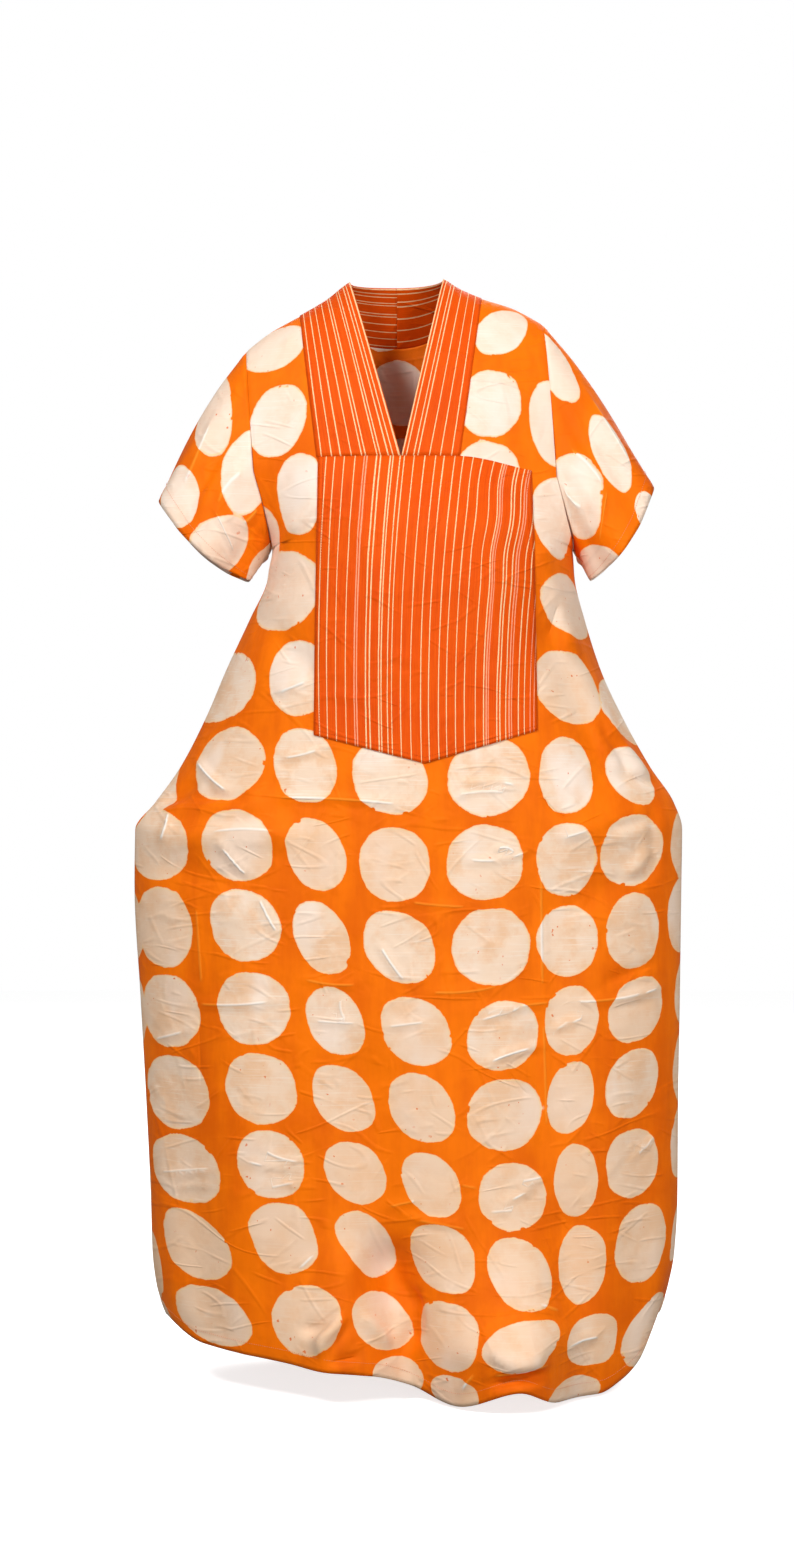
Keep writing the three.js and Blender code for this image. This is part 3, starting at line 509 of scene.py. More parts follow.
# A sleeve's creases: x is the turn round it in degrees, z runs down it from 0 at the armhole.
SLEEVE_CREASES = table(
    "x0 z0 x1 z1 bow rise width",
    (60, -20, 72, -150, 4, 2.0, 7), (96, -30, 88, -120, -4, 1.8, 6), (128, -10, 118, -90, 3, 2.0, 6),
    (150, -15, 146, -70, 0, -2.0, 7), (30, -60, 44, -160, 4, 1.6, 6), (80, -120, 130, -150, 6, 1.4, 5),
    (100, -90, 108, -112, 3, 1.4, 7), (170, -20, 200, -100, 4, 1.6, 6), (230, -30, 240, -140, -4, 1.8, 7),
    (270, -40, 262, -150, 4, 1.6, 6), (305, -20, 312, -130, -3, 1.6, 6), (340, -70, 350, -160, 0, 1.2, 5),
)
BIB_CREASES = table(
    "x0 z0 x1 z1 bow rise width",
    (-60, -300, -20, -420, 6, 1.0, 10), (90, -270, 60, -400, -6, 1.0, 10), (-40, -470, 40, -490, 4, 0.8, 8),
    (110, -360, 140, -520, -6, 1.2, 10), (-90, -520, -20, -540, 3, 0.9, 7), (40, -560, 110, -540, 3, 0.8, 7),
)

# The dots printed on the front: p is where one lies across the cloth, w how far down it. wide and tall are
# its size, and lean is how far its lower end is drawn to the left side.
FRONT_DOTS = table(
    "p w wide tall lean",
    (-161, 71, 88, 78, -13), (134, 53, 70, 76, -11), (-154, 176, 77, 94, -9), (114, 248, 86, 84, 0),
    (118, 156, 84, 88, -2), (203, 178, 65, 111, 5), (-218, 328, 91, 99, -10), (-128, 272, 69, 101, -6),
    (217, 299, 82, 104, 8), (-166, 391, 133, 100, -3), (253, 409, 121, 82, 16), (-266, 510, 140, 89, -8),
    (-129, 501, 85, 94, 4), (230, 512, 107, 92, 10), (351, 540, 131, 85, 15), (-359, 631, 74, 86, 8),
    (-228, 606, 114, 89, -4), (-116, 609, 82, 92, 7), (-9, 624, 92, 90, 7), (113, 623, 104, 96, -4),
    (216, 621, 78, 94, -1), (321, 622, 82, 73, 9), (-332, 710, 115, 88, 3), (-203, 708, 99, 89, 7),
    (-100, 718, 73, 89, 9), (-3, 730, 87, 90, 2), (108, 728, 96, 92, -1), (213, 725, 79, 91, -1),
    (311, 714, 102, 89, -7), (415, 711, 70, 84, 0), (-396, 815, 72, 91, 3), (-320, 812, 104, 101, 4),
    (-192, 806, 95, 89, 6), (-93, 820, 69, 89, 12), (3, 831, 86, 88, 11), (116, 831, 99, 95, -1),
    (215, 825, 80, 87, 0), (310, 816, 86, 95, -1), (408, 799, 72, 97, -3), (-394, 920, 72, 92, 4),
    (-309, 917, 105, 92, 4), (-180, 908, 96, 90, 2), (-76, 922, 70, 84, 10), (23, 934, 84, 84, 10),
    (131, 940, 91, 86, -5), (220, 924, 71, 86, -3), (315, 914, 87, 82, -10), (425, 896, 72, 86, -5),
    (-406, 1023, 72, 92, 5), (-301, 1019, 114, 92, 5), (-171, 1007, 93, 88, 5), (-67, 1017, 73, 83, 12),
    (30, 1028, 79, 85, 11), (133, 1037, 95, 88, -3), (219, 1019, 60, 89, -6), (309, 1006, 86, 86, -9),
    (421, 993, 72, 94, -5), (-396, 1125, 72, 89, 6), (-288, 1115, 121, 85, 9), (-158, 1100, 87, 83, 5),
    (-52, 1108, 73, 77, 10), (42, 1122, 70, 79, 12), (144, 1138, 88, 83, 3), (226, 1121, 57, 90, 0),
    (310, 1106, 88, 86, -1), (416, 1088, 72, 94, -5), (-387, 1241, 72, 86, 8), (-288, 1208, 108, 86, 14),
    (-152, 1190, 86, 87, -6), (-42, 1197, 72, 84, 12), (60, 1212, 80, 85, 16), (161, 1230, 80, 86, 19),
    (246, 1226, 64, 95, 9), (339, 1208, 100, 98, 7), (446, 1192, 72, 92, -5), (-381, 1309, 62, 51, 10),
    (-269, 1295, 116, 72, 12), (-130, 1287, 97, 83, -4), (-25, 1291, 79, 72, 16), (73, 1305, 93, 83, 9),
    (177, 1310, 98, 56, -4), (300, 1319, 91, 62, 18), (412, 1319, 100, 91, -10), (509, 1291, 72, 90, -8),
    (-3, 1359, 74, 49, 7), (85, 1372, 76, 41, 5), (277, 1381, 108, 44, 0),
)
# A sleeve's dots: turn runs round it in degrees, from the shoulder over the front, and s down to the cuff.
SLEEVE_DOTS = {
    "right": table(
        "turn s wide tall lean",
        (23, 0.37, 64, 116, -15), (44, 0.86, 58, 84, -6), (102, 0.1, 62, 108, 9), (112, 0.82, 70, 82, 10),
        (182, 0.55, 74, 84, 0), (238, 0.18, 78, 92, -6), (262, 0.84, 80, 84, 4), (318, 0.52, 76, 90, 8),
    ),
    "left": table(
        "turn s wide tall lean",
        (34, 0.06, 54, 108, -16), (113, 0.3, 68, 108, -6), (48, 0.62, 48, 100, -14), (142, 0.95, 68, 64, 0),
        (51, 1.03, 34, 50, 0), (196, 0.4, 72, 84, 0), (246, 0.2, 78, 92, 6), (268, 0.86, 80, 84, -4),
        (326, 0.5, 76, 90, -8),
    ),
}


def by_bow(x0, z0, x1, z1, bow, x, z, over, ease):
    """How far x, z lies beside a bowed line, and how whole the crease is there: it thins out at its ends."""
    along, beside, _ = by_line(x0, z0, x1, z1, x, z)
    inside = np.clip(along, 0, 1)
    ends = smoothstep(along, -over, ease) * (1 - smoothstep(along, 1 - ease, 1 + over))
    return beside + 4 * bow * inside * (1 - inside), ends


# A crease no wider than this has a sharp crest, which shows as far as the reach, in the bump and as a painted
# highlight. A rise this high is full.
SHARP_WIDTH, CREST_REACH, FULL_RISE = 6.5, 12.0, 2.2


def creases(rows, x, z):
    """The height of all the creases of a table: each a ridge with a shallow dent on its lower side."""
    height = np.zeros(np.broadcast(x, z).shape)
    for *line, rise, width in zip(*rows.values()):
        beside, ends = by_bow(*line, x, z, 0.06, 0.3)
        dent = np.exp(-((beside / width - 1.5 * np.sign(line[2] - line[0])) ** 2))
        height += rise * ends * (np.exp(-((beside / width) ** 2)) - 0.25 * dent)
    return height


def crests(rows, x, z):
    """How far each point lies beside its nearest sharp crease, in metres, and how sharp it is there."""
    shape = np.broadcast(x, z).shape
    nearest, beside_it, sharp = np.full(shape, 1e9), np.zeros(shape), np.zeros(shape)
    for *line, rise, width in zip(*rows.values()):
        if width > SHARP_WIDTH:
            continue
        beside, ends = by_bow(*line, x, z, 0.02, 0.25)
        near = np.abs(beside) + 60 * (1 - ends)
        here = near < nearest
        crest = ends * (near < CREST_REACH) * np.clip(rise / FULL_RISE, -1, 1)
        sharp = np.where(here, crest, sharp * (near > 2 * CREST_REACH))
        beside_it = np.where(here, beside * MM, beside_it)
        nearest = np.where(here, near, nearest)
    return np.stack([np.clip(beside_it, -0.04, 0.04), sharp], axis=-1)


def small_creases(seed, count):
    """Short creases spread over a panel, most of them lying across it."""
    chance = np.random.default_rng(seed)
    rows = []
    for _ in range(count):
        x, z = chance.uniform(-300, 330), chance.uniform(-1340, -420)
        lean, half = chance.normal(0, 0.45), chance.uniform(10, 34)
        dx, dz = half * math.cos(lean), half * math.sin(lean)
        bow, rise = chance.normal(0, 2), chance.uniform(0.3, 0.7) * chance.choice((-1, 1, 1))
        rows.append((x - dx, z - dz, x + dx, z + dz, bow, rise, chance.uniform(3.4, 5.5)))
    return table("x0 z0 x1 z1 bow rise width", *rows)


FAR = 9.0  # a reach well outside every dot


def nearest_dot(reaches, shape):
    """How far each place lies from the middle of its dot, 1 being the dot's edge, and the dot's number."""
    reach, number = np.full(shape, FAR), np.zeros(shape)
    for k, here in enumerate(reaches):
        number = np.where(here < reach, k, number)
        reach = np.minimum(reach, here)
    return np.stack([reach, number / 100], axis=-1)


def dots_flat(p, w, dots):
    """The reach from each dot of a panel, where p is measured across its cloth and w down it."""
    for p0, w0, wide, tall, lean in zip(*dots.values()):
        down = (w - w0) / (tall / 2)
        across = (p - p0 - lean * down) / (wide / 2)
        yield (np.abs(across) ** 2.1 + np.abs(down) ** 2.1) ** (1 / 2.1)


def dots_round(grid, out, turn, s, dots):
    """The same for a sleeve, where each dot lies flat on the cloth at its middle."""
    degrees = np.degrees(turn)
    for at, part, wide, tall, lean in zip(*dots.values()):
        row, column = int(np.argmin(np.abs(s[:, 0] - part))), int(np.argmin(np.abs(degrees - at)))
        facing = out[row, column]
        down = np.array([0, 0, -1]) + facing * facing[2]
        down = down / np.linalg.norm(down)
        side = np.cross(down, facing)
        away = grid - grid[row, column]
        far_down = away @ down / (tall / 2)
        across = (away @ side - lean * far_down) / (wide / 2)
        yield np.sqrt(across**2 + far_down**2) + FAR * (out @ facing < 0.1)


def across_cloth(grid, line):
    """How far across the cloth each point of the front lies, measured along it from the V's own line."""
    lower = grid[SHOULDER_ROWS - 1:]
    run = run_across(lower[..., :2])
    middle = int(np.argmax(line == 2))
    p = run - run[:, middle:middle + 1] + lower[:, middle:middle + 1, 0]
    upper = grid[:SHOULDER_ROWS - 1, :, 0]
    return np.concatenate([p[:1] + upper - lower[:1, :, 0], p])


def down_cloth(grid):
    """How far down the cloth each point of a panel lies, level with -z from the chest line down."""
    step = np.linalg.norm(np.diff(grid[:SHOULDER_ROWS], axis=0), axis=-1)
    w = -grid[..., 2]
    w[:SHOULDER_ROWS - 1] = -grid[SHOULDER_ROWS - 1, :, 2] - np.cumsum(step[::-1], axis=0)[::-1]
    return w


def panel_maps(grid, p, dots, rows):
    """The UV maps of a panel: its printed dots, p being measured across the cloth, and its sharp creases."""
    printed = nearest_dot(dots_flat(p, down_cloth(grid), dots), p.shape)
    return {"print": printed, "crests": crests(rows, grid[..., 0], grid[..., 2])}


BACK_DOT = (77, 85)  # about how wide and tall a dot of the back is
BACK_STEPS = (93, 98)  # from one to the next, across and down


def back_dots():
    """The back's dots, in rows and columns that wander a little."""
    chance = np.random.default_rng(11)
    rows = []
    for k, w in enumerate(np.arange(20, 1400, BACK_STEPS[1])):
        for p in np.arange(-430, 480, BACK_STEPS[0]) + 9 * math.sin(k * 0.9) + 0.04 * (w - 700):
            drift = chance.normal(0, 1, 5)
            rows.append(np.array([p, w, *BACK_DOT, 0]) + (2, 2, 2, 2, 3) * drift)
    return table("p w wide tall lean", *rows)


# ---------------------------------------------------------------- cloth


def normals_of(grid, outward):
    """The outward direction at each point of a grid, outward being +1 or -1 for its winding."""
    down = np.gradient(grid, axis=0)
    across = np.gradient(grid, axis=1)
    normal = np.cross(across, down) * outward
    return normal / np.maximum(1e-9, np.linalg.norm(normal, axis=-1, keepdims=True))


def run_down(grid):
    """The length of cloth from the first row down to each point."""
    return np.cumsum(np.linalg.norm(np.diff(grid, axis=0, prepend=grid[:1]), axis=-1), axis=0)


def run_across(grid):
    """The length of cloth from the first column across to each point."""
    return np.cumsum(np.linalg.norm(np.diff(grid, axis=1, prepend=grid[:, :1]), axis=-1), axis=1)


def from_edges(grid):
    """How far each point lies along its row from the nearer end of the row."""
    run = run_across(grid)
    return np.minimum(run, run[:, -1:] - run)


def turned_hem(left, deep):
    """1 on the strip where cloth is turned up at its edge, left being the length of cloth to the edge."""
    return smoothstep(left, 0, 1) * (1 - smoothstep(left, deep - 1, deep + 1))


def ripple(turn, run):
    """The small waves round a sleeve."""
    return 1.2 * np.sin(turn * 9 + 0.02 * run)


def cloth_piece(name, grid, outward, maps, materials, thickness, keep=None):
    """A thin shell of cloth from a grid of points in millimetres. maps holds its UV maps, keep its faces."""
    rows, columns = grid.shape[:2]
    index = np.arange(rows * columns).reshape(rows, columns)
    quads = np.stack([index[:-1, :-1], index[:-1, 1:], index[1:, 1:], index[1:, :-1]], axis=-1)
    if outward < 0:
        quads = quads[..., ::-1]
    quads = quads.reshape(-1, 4) if keep is None else quads[keep]
    used, quads = np.unique(quads, return_inverse=True)
    quads = quads.reshape(-1, 4)
    mesh = bpy.data.meshes.new(name)
    mesh.from_pydata((grid.reshape(-1, 3)[used] * MM).tolist(), [], quads.tolist())
    corners = quads.ravel()
    for label, values in maps.items():
        layer = mesh.uv_layers.new(name=label)
        layer.data.foreach_set("uv", values.reshape(-1, 2)[used][corners].astype(np.float32).ravel())
    mesh.shade_smooth()
    for material in materials:
        mesh.materials.append(material)
    mesh.validate()
    piece = link_to_scene(name, mesh)
    shell = piece.modifiers.new("Cloth", "SOLIDIFY")
    shell.thickness = thickness
    shell.offset = -1
    shell.material_offset = len(materials) - 1
    return piece


def sewn(piece, node):
    """Declares a finished piece of cloth to the frame."""
    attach(piece, "root")
    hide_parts(node)


FRONT = Panel("front", FRONT_LINES, FRONT_HEM, FRONT_FOLDS)
BACK = Panel("back", BACK_LINES, BACK_HEM, BACK_FOLDS)
SEAM_CLEAR = 18  # creases fade out over this much cloth beside a seam
GROOVE_WIDTH, GROOVE_DEPTH = 6, 0.9  # how a seam is drawn in
HEM_DEPTH, HEM_HEIGHT = 16, 0.5  # how far up the hem is turned, and how far it stands out
SMALL_CREASES = 90  # on each panel


class Form:
    """The dress's own form, worked out once for all the pieces."""

    def __init__(self):
        self.front, self.back = FRONT.grid(), BACK.grid()
        self.front_out, self.back_out = normals_of(self.front, -1), normals_of(self.back, 1)


def relief(grid, rows, seed, scale):
    """The heights of a panel's creases, which fade out at its seams, with grooved seams and a turned hem."""
    edge, run = from_edges(grid), run_down(grid)
    free = smoothstep(edge, 0, SEAM_CLEAR) * smoothstep(run, 0, SEAM_CLEAR)
    groove = 1 - smoothstep(np.minimum(edge, run), 0, GROOVE_WIDTH)
    x, z = grid[..., 0], grid[..., 2]
    small = small_creases(seed, SMALL_CREASES)
    raised = scale * free * (creases(rows, x, z) + creases(small, x, z))
    return raised - GROOVE_DEPTH * groove + HEM_HEIGHT * turned_hem(run[-1] - run, HEM_DEPTH)


# ---------------------------------------------------------------- finishes


class Finish:
    """Builds a material from nodes. Each method adds a node and returns its output."""

    def __init__(self, name):
        self.material = bpy.data.materials.new(name)
        self.material.use_nodes = True
        self.nodes = self.material.node_tree.nodes
        self.nodes.clear()

    def add(self, kind, **settings):
        node = self.nodes.new(kind)
        for key, value in settings.items():
            setattr(node, key, value)
        return node

    def put(self, socket, value):
        if isinstance(value, bpy.types.NodeSocket):
            self.material.node_tree.links.new(value, socket)
        else:
            socket.default_value = value

    def math(self, operation, *values, clamp=False):
        node = self.add("ShaderNodeMath", operation=operation, use_clamp=clamp)
        for socket, value in zip(node.inputs, values):
            self.put(socket, value)
        return node.outputs[0]

    def plus(self, a, b):
        return self.math("ADD", a, b)

    def times(self, a, b):
        return self.math("MULTIPLY", a, b)

    def apart(self, a, b):
        return self.math("ABSOLUTE", self.math("SUBTRACT", a, b))

    def split(self, vector):
        node = self.add("ShaderNodeSeparateXYZ")
        self.put(node.inputs[0], vector)
        return node.outputs

    def join(self, x, y, z=0.0):
        node = self.add("ShaderNodeCombineXYZ")
        for socket, value in zip(node.inputs, (x, y, z)):
            self.put(socket, value)
        return node.outputs[0]

    def stretch(self, vector, scale):
        node = self.add("ShaderNodeVectorMath", operation="MULTIPLY")
        self.put(node.inputs[0], vector)
        self.put(node.inputs[1], scale)
        return node.outputs[0]

    def noise(self, vector, scale, detail=2.0, rough=0.5, distort=0.0):
        node = self.add("ShaderNodeTexNoise")
        self.put(node.inputs["Vector"], vector)
        values = {"Scale": scale, "Detail": detail, "Roughness": rough, "Distortion": distort}
        for socket, value in values.items():
            self.put(node.inputs[socket], value)
        return node.outputs["Fac"]

    def random(self, vector):
        node = self.add("ShaderNodeTexWhiteNoise", noise_dimensions="3D")
        self.put(node.inputs["Vector"], vector)
        return self.split(node.outputs["Color"])

    def fade(self, value, low, high, start=0.0, end=1.0):
        node = self.add("ShaderNodeMapRange", interpolation_type="SMOOTHSTEP")
        for socket, number in zip(node.inputs, (value, low, high, start, end)):
            self.put(socket, number)
        return node.outputs[0]

    def mix(self, share, a, b):
        node = self.add("ShaderNodeMix", data_type="RGBA")
        self.put(node.inputs[0], share)
        self.put(node.inputs[6], (*a, 1) if isinstance(a, tuple) else a)
        self.put(node.inputs[7], (*b, 1) if isinstance(b, tuple) else b)
        return node.outputs[2]

    def uv(self, label):
        return self.add("ShaderNodeUVMap", uv_map=label).outputs[0]

    def place(self):
        return self.add("ShaderNodeTexCoord").outputs["Object"]

    def bump(self, height, distance, normal=None):
        node = self.add("ShaderNodeBump")
        self.put(node.inputs["Height"], height)
        self.put(node.inputs["Distance"], distance)
        if normal is not None:
            self.put(node.inputs["Normal"], normal)
        return node.outputs[0]

    def cloth(self, colour, rough, normal, gloss=0.1, sheen=0.0):
        shader = self.add("ShaderNodeBsdfPrincipled")
        self.put(shader.inputs["Base Color"], colour)
        self.put(shader.inputs["Roughness"], rough)
        self.put(shader.inputs["Normal"], normal)
        shader.inputs["Specular IOR Level"].default_value = gloss
        shader.inputs["Sheen Weight"].default_value = sheen
        shader.inputs["Sheen Roughness"].default_value = 0.4
        out = self.add("ShaderNodeOutputMaterial")
        self.put(out.inputs["Surface"], shader.outputs[0])
        return self.material

    def long_creases(self, place, turn, size, share):
        """Fine creases that run one way, in millimetres of height: each a thin line, broken into lengths."""
        x, _, z = self.split(place)
        c, s = math.cos(math.radians(turn)), math.sin(math.radians(turn))
        along = self.plus(self.times(x, c), self.times(z, s))
        beside = self.math("SUBTRACT", self.times(z, c), self.times(x, s))
        where = self.join(self.times(along, size[0]), self.times(beside, size[1]), turn)
        off = self.apart(self.noise(where, 1.0, 0.0), 0.5)
        shown = self.fade(self.noise(self.join(along, beside, 3.0 + turn), 17.0, 1.0), 0.5, 0.6, 0.0, share)
        return self.times(self.fade(off, 0.0, 0.045, 1.0, 0.0), shown)

    def crinkle(self, across, down, crest=0.0):
        """The small creasing of worn cotton, and its weave. crest raises the line along each main crease."""
        place = self.place()
        height = self.times(self.noise(place, 15.0, 3.0, 0.5, 0.4), 3.2)
        for turn, size, share in CRINKLES:
            height = self.plus(height, self.long_creases(place, turn, size, share))
        height = self.plus(height, self.times(crest, 0.9))
        normal = self.bump(height, MM)
        threads = [self.math("SINE", self.times(way, 2 * math.pi / WEAVE)) for way in (across, down)]
        return self.bump(self.times(*threads), 0.00005, normal)


# Fine creases: the way they run in degrees, how often they come along it and across it, and their strength.
CRINKLES = ((8, (8.0, 34.0), 0.6), (-17, (9.0, 30.0), 0.55), (38, (7.0, 22.0), 0.5), (-64, (5.0, 19.0), 0.45))
WEAVE = 0.0009  # from one thread to the next, in metres


def linear(*srgb):
    """A colour given as 0 to 255 on a screen, as the linear one that shaders use."""
    return tuple(((c / 255 + 0.055) / 1.055) ** 2.4 if c > 10 else c / 255 / 12.92 for c in srgb)


def toned(colour, *by):
    """A colour with each channel scaled."""
    return tuple(min(1.0, c * k) for c, k in zip(colour, by))


def dotted_cotton(name, looks, worn=0.0):
    """Orange cotton with rows of hand-printed pale dots, each a little different."""
    f = Finish(name)
    place = f.place()
    x, _, z = f.split(place)
    reach, number, _ = f.split(f.uv("print"))
    chance = f.random(f.join(f.math("ROUND", f.times(number, 100.0)), 2.0, 3.7))
    # a dot's edge wanders, is nicked like a hand-cut stamp's, and has a notch here and there
    for uneven, share in ((f.noise(place, 34.0, 2.0, 0.5), 0.15), (f.noise(place, 130.0, 3.0, 0.7), 0.055)):
        reach = f.plus(reach, f.times(f.math("SUBTRACT", uneven, 0.5), share))
    reach = f.plus(reach, f.fade(f.noise(place, 62.0, 1.0), 0.68, 0.76, 0.0, 0.06))
    dot = f.fade(reach, 1.0 - 0.012, 1.0 + 0.012, 1.0, 0.0)

    ground, cream = tuple(looks.ground), tuple(looks.dots)
    streaks = f.noise(f.stretch(place, (26.0, 26.0, 5.0)), 1.0, 4.0, 0.6)
    patches = f.noise(place, 9.0, 4.0, 0.6)
    dye = f.fade(f.plus(f.times(streaks, 0.5), f.times(patches, 0.5)), 0.36, 0.64)
    orange = f.mix(dye, toned(ground, 0.88, 0.79, 0.7), toned(ground, 1.06, 1.14, 1.1))
    # the darker tone serves both real stains on the dots and the painted shade towards the hem
    stain_and_shade, pale = toned(cream, 0.95, 0.80, 0.66), toned(cream, 1.05, 1.2, 1.42)
    slubs = f.noise(f.stretch(place, (16.0, 40.0, 620.0)), 1.0, 2.0, 0.5)
    whiter = f.noise(f.stretch(place, (14.0, 20.0, 9.0)), 1.0, 2.0, 0.5)
    specks = f.times(f.fade(f.noise(place, 150.0, 1.0), 0.75, 0.77), f.fade(patches, 0.42, 0.55))
    inside = f.mix(f.fade(f.noise(place, 24.0, 5.0, 0.65), 0.36, 0.60), stain_and_shade, cream)
    for share, tone in (
        (f.fade(slubs, 0.5, 0.8, 0.0, 0.6), pale),
        (f.fade(whiter, 0.5, 0.72, 0.0, 0.7), pale),
        (f.fade(chance[0], 0.2, 1.0, 0.0, 0.45), stain_and_shade),  # some dots more than others
        (f.fade(z, -0.62, -0.25, 0.0, 0.45), pale),  # painted light: paler towards the shoulders, where more light falls from above
        (f.fade(z, -1.25, -0.75, 0.42, 0.0), stain_and_shade),  # and painted shade: darker towards the hem, where less light falls
        (f.times(f.times(f.fade(reach, 0.945, 0.98), dot), 0.65), linear(252, 206, 138)),  # dye in the rim
        (f.times(specks, 0.8), toned(ground, 0.8, 0.8, 0.8)),
    ):
        inside = f.mix(share, inside, tone)
    colour = f.mix(dot, orange, inside)
    # painted highlight: a bright line along the crest of each sharp ridge, light orange on the ground and
    # near white on the dots
    lit = linear(255, 148, 40)
    beside, sharp, _ = f.split(f.uv("crests"))
    crest = f.times(f.fade(f.math("ABSOLUTE", beside), 0.0, 0.0026, 1.0, 0.0), sharp)
    colour = f.mix(f.math("MULTIPLY", crest, 1.0, clamp=True), colour, f.mix(dot, lit, (1.0, 0.92, 0.84)))
    if worn:
        colour = f.mix(worn, colour, f.mix(dot, lit, pale))
    return f.cloth(colour, looks.roughness, f.crinkle(x, z, crest), looks.gloss, looks.sheen)


# The woven stripes: where the middle of each lies, in millimetres from the bib's left edge as it is seen
# (for the neckbands, in hundredths of the band's width), its width, and 1 for pale or 0 for pink.
BIB_STRIPES = (
    (8.7, 1.1, 1), (18.6, 1.1, 1), (29.8, 1.1, 1), (42.2, 1.1, 1), (53.1, 1.5, 0), (56, 1.5, 0), (67, 1.5, 1),
    (71.9, 1.6, 1), (83.1, 1.5, 1), (86.3, 1.3, 1), (94.2, 1.2, 1), (99.2, 1.1, 1), (110.4, 1.1, 1),
    (122.8, 1.1, 1), (135.2, 1.1, 1), (145.1, 1.1, 1), (157.5, 1.1, 1), (167.4, 1.1, 1), (178.6, 1.1, 1),
    (189.7, 1.1, 1), (203.4, 1.1, 1), (213.9, 1.2, 1), (217, 1.8, 0), (219.7, 1, 0), (230.6, 1.5, 1),
    (234.4, 1.4, 1), (241.8, 1.2, 1), (246.1, 1.6, 0), (249.2, 1.2, 0), (257.9, 1.2, 1), (265.4, 1.1, 1),
    (272.8, 1.1, 0), (277.8, 1, 0),
)
RIGHT_BAND_STRIPES = (
    (4.5, 1.4, 1), (16.7, 1.4, 1), (27.6, 1.4, 1), (40.6, 1.4, 1), (53, 1.5, 1), (57.5, 1.5, 1),
    (71.5, 1.3, 1), (75.5, 1.3, 1), (85, 1.4, 1), (90.5, 1.4, 1), (98, 2.2, 1),
)
LEFT_BAND_STRIPES = (
    (1.8, 2.4, 1), (9, 2.0, 1), (22.3, 1.7, 1), (30, 2.3, 1), (50, 1.7, 1), (69, 1.7, 1), (88, 1.7, 1),
)


def striped_cotton(name, looks, stripes):
    """Red-orange cotton with fine woven stripes of uneven spacing."""
    f = Finish(name)
    along = f.uv("stripes")
    u, v, _ = f.split(along)
    sway = f.math("SUBTRACT", f.noise(f.join(f.times(u, 30.0), v, 0.0), 9.0, 1.0), 0.5)
    u = f.plus(u, f.times(sway, 0.0012))
    masks = [0.0, 0.0]
    for at, width, tone in stripes:
        mask = f.fade(f.apart(u, at * MM), (width / 2 - 0.25) * MM, (width / 2 + 0.25) * MM, 1.0, 0.0)
        masks[tone] = f.math("MAXIMUM", masks[tone], mask)
    broken = f.fade(f.noise(f.stretch(along, (1500.0, 260.0, 1.0)), 1.0, 2.0), 0.30, 0.52, 0.62, 1.0)
    ground = tuple(looks.stripe_ground)
    slubs = f.noise(f.stretch(along, (900.0, 14.0, 1.0)), 1.0, 4.0, 0.6)
    patches = f.noise(f.place(), 14.0, 3.0, 0.6)
    dye = f.fade(f.plus(f.times(slubs, 0.6), f.times(patches, 0.4)), 0.36, 0.62)
    colour = f.mix(dye, toned(ground, 0.88, 0.72, 0.6), ground)
    for mask, tone in zip(masks, (looks.stripe_pink, looks.stripe_pale)):
        colour = f.mix(f.times(mask, broken), colour, tuple(tone))
    return f.cloth(colour, looks.roughness, f.crinkle(u, v), looks.gloss, looks.sheen)


def thread(name, colour):
    """Sewing thread: two plies twisted together."""
    f = Finish(name)
    x, y, z = f.split(f.place())
    twist = f.math("SINE", f.times(f.plus(f.plus(x, y), z), 9000.0))
    # painted shade: the thread is darker in the grooves between its plies
    shade = f.mix(f.fade(twist, -1.0, 1.0), toned(colour, 0.8, 0.8, 0.8), colour)
    return f.cloth(shade, 0.6, f.bump(twist, 0.00006))


def red_thread(name, looks):
    return thread(name, toned(looks.stripe_ground, 0.8, 0.8, 0.8))


def amber_thread(name, looks):
    return thread(name, tuple(0.6 * a + 0.35 * b for a, b in zip(looks.ground, looks.dots)))


# ---------------------------------------------------------------- settings

LENGTH = {"subtype": "DISTANCE", "unit": "LENGTH"}
SHARE = {"min": 0.0, "max": 1.0, "subtype": "FACTOR"}
COLOUR = {"size": 3, "min": 0.0, "max": 1.0, "subtype": "COLOR"}


class ClothSettings(bpy.types.PropertyGroup):
    """The cloth's thickness and colours."""

    thickness: FloatProperty(
        name="Cloth thickness", description="Thickness of the dotted cotton",
        default=0.0007, min=0.0003, max=0.0015, **LENGTH,
    )
    band_thickness: FloatProperty(
        name="Band thickness", description="Thickness of the folded bib and neckband",
        default=0.001, min=0.0005, max=0.0018, **LENGTH,
    )
    crease_height: FloatProperty(
        name="Crease height", description="How strongly the creases are raised",
        default=1.35, min=0.0, max=4.0, subtype="FACTOR",
    )
    ground: FloatVectorProperty(
        name="Ground", description="Colour of the cotton between the dots",
        default=linear(249, 114, 1), **COLOUR,
    )
    dots: FloatVectorProperty(
        name="Dots", description="Colour inside the printed dots",
        default=linear(246, 217, 190), **COLOUR,
    )
    stripe_ground: FloatVectorProperty(
        name="Striped ground", description="Colour of the bib and neckband",
        default=linear(236, 88, 4), **COLOUR,
    )
    stripe_pale: FloatVectorProperty(
        name="Pale stripes", description="Colour of the pale woven stripes",
        default=linear(250, 212, 158), **COLOUR,
    )
    stripe_pink: FloatVectorProperty(
        name="Pink stripes", description="Colour of the pink woven stripes",
        default=linear(250, 164, 124), **COLOUR,
    )
    roughness: FloatProperty(name="Roughness", description="How matt the cotton is", default=0.52, **SHARE)
    gloss: FloatProperty(name="Gloss", description="How much the cotton reflects", default=0.08, **SHARE)
    sheen: FloatProperty(
        name="Sheen", description="Soft shine of the cotton at grazing angles",
        default=0.02, **SHARE,
    )


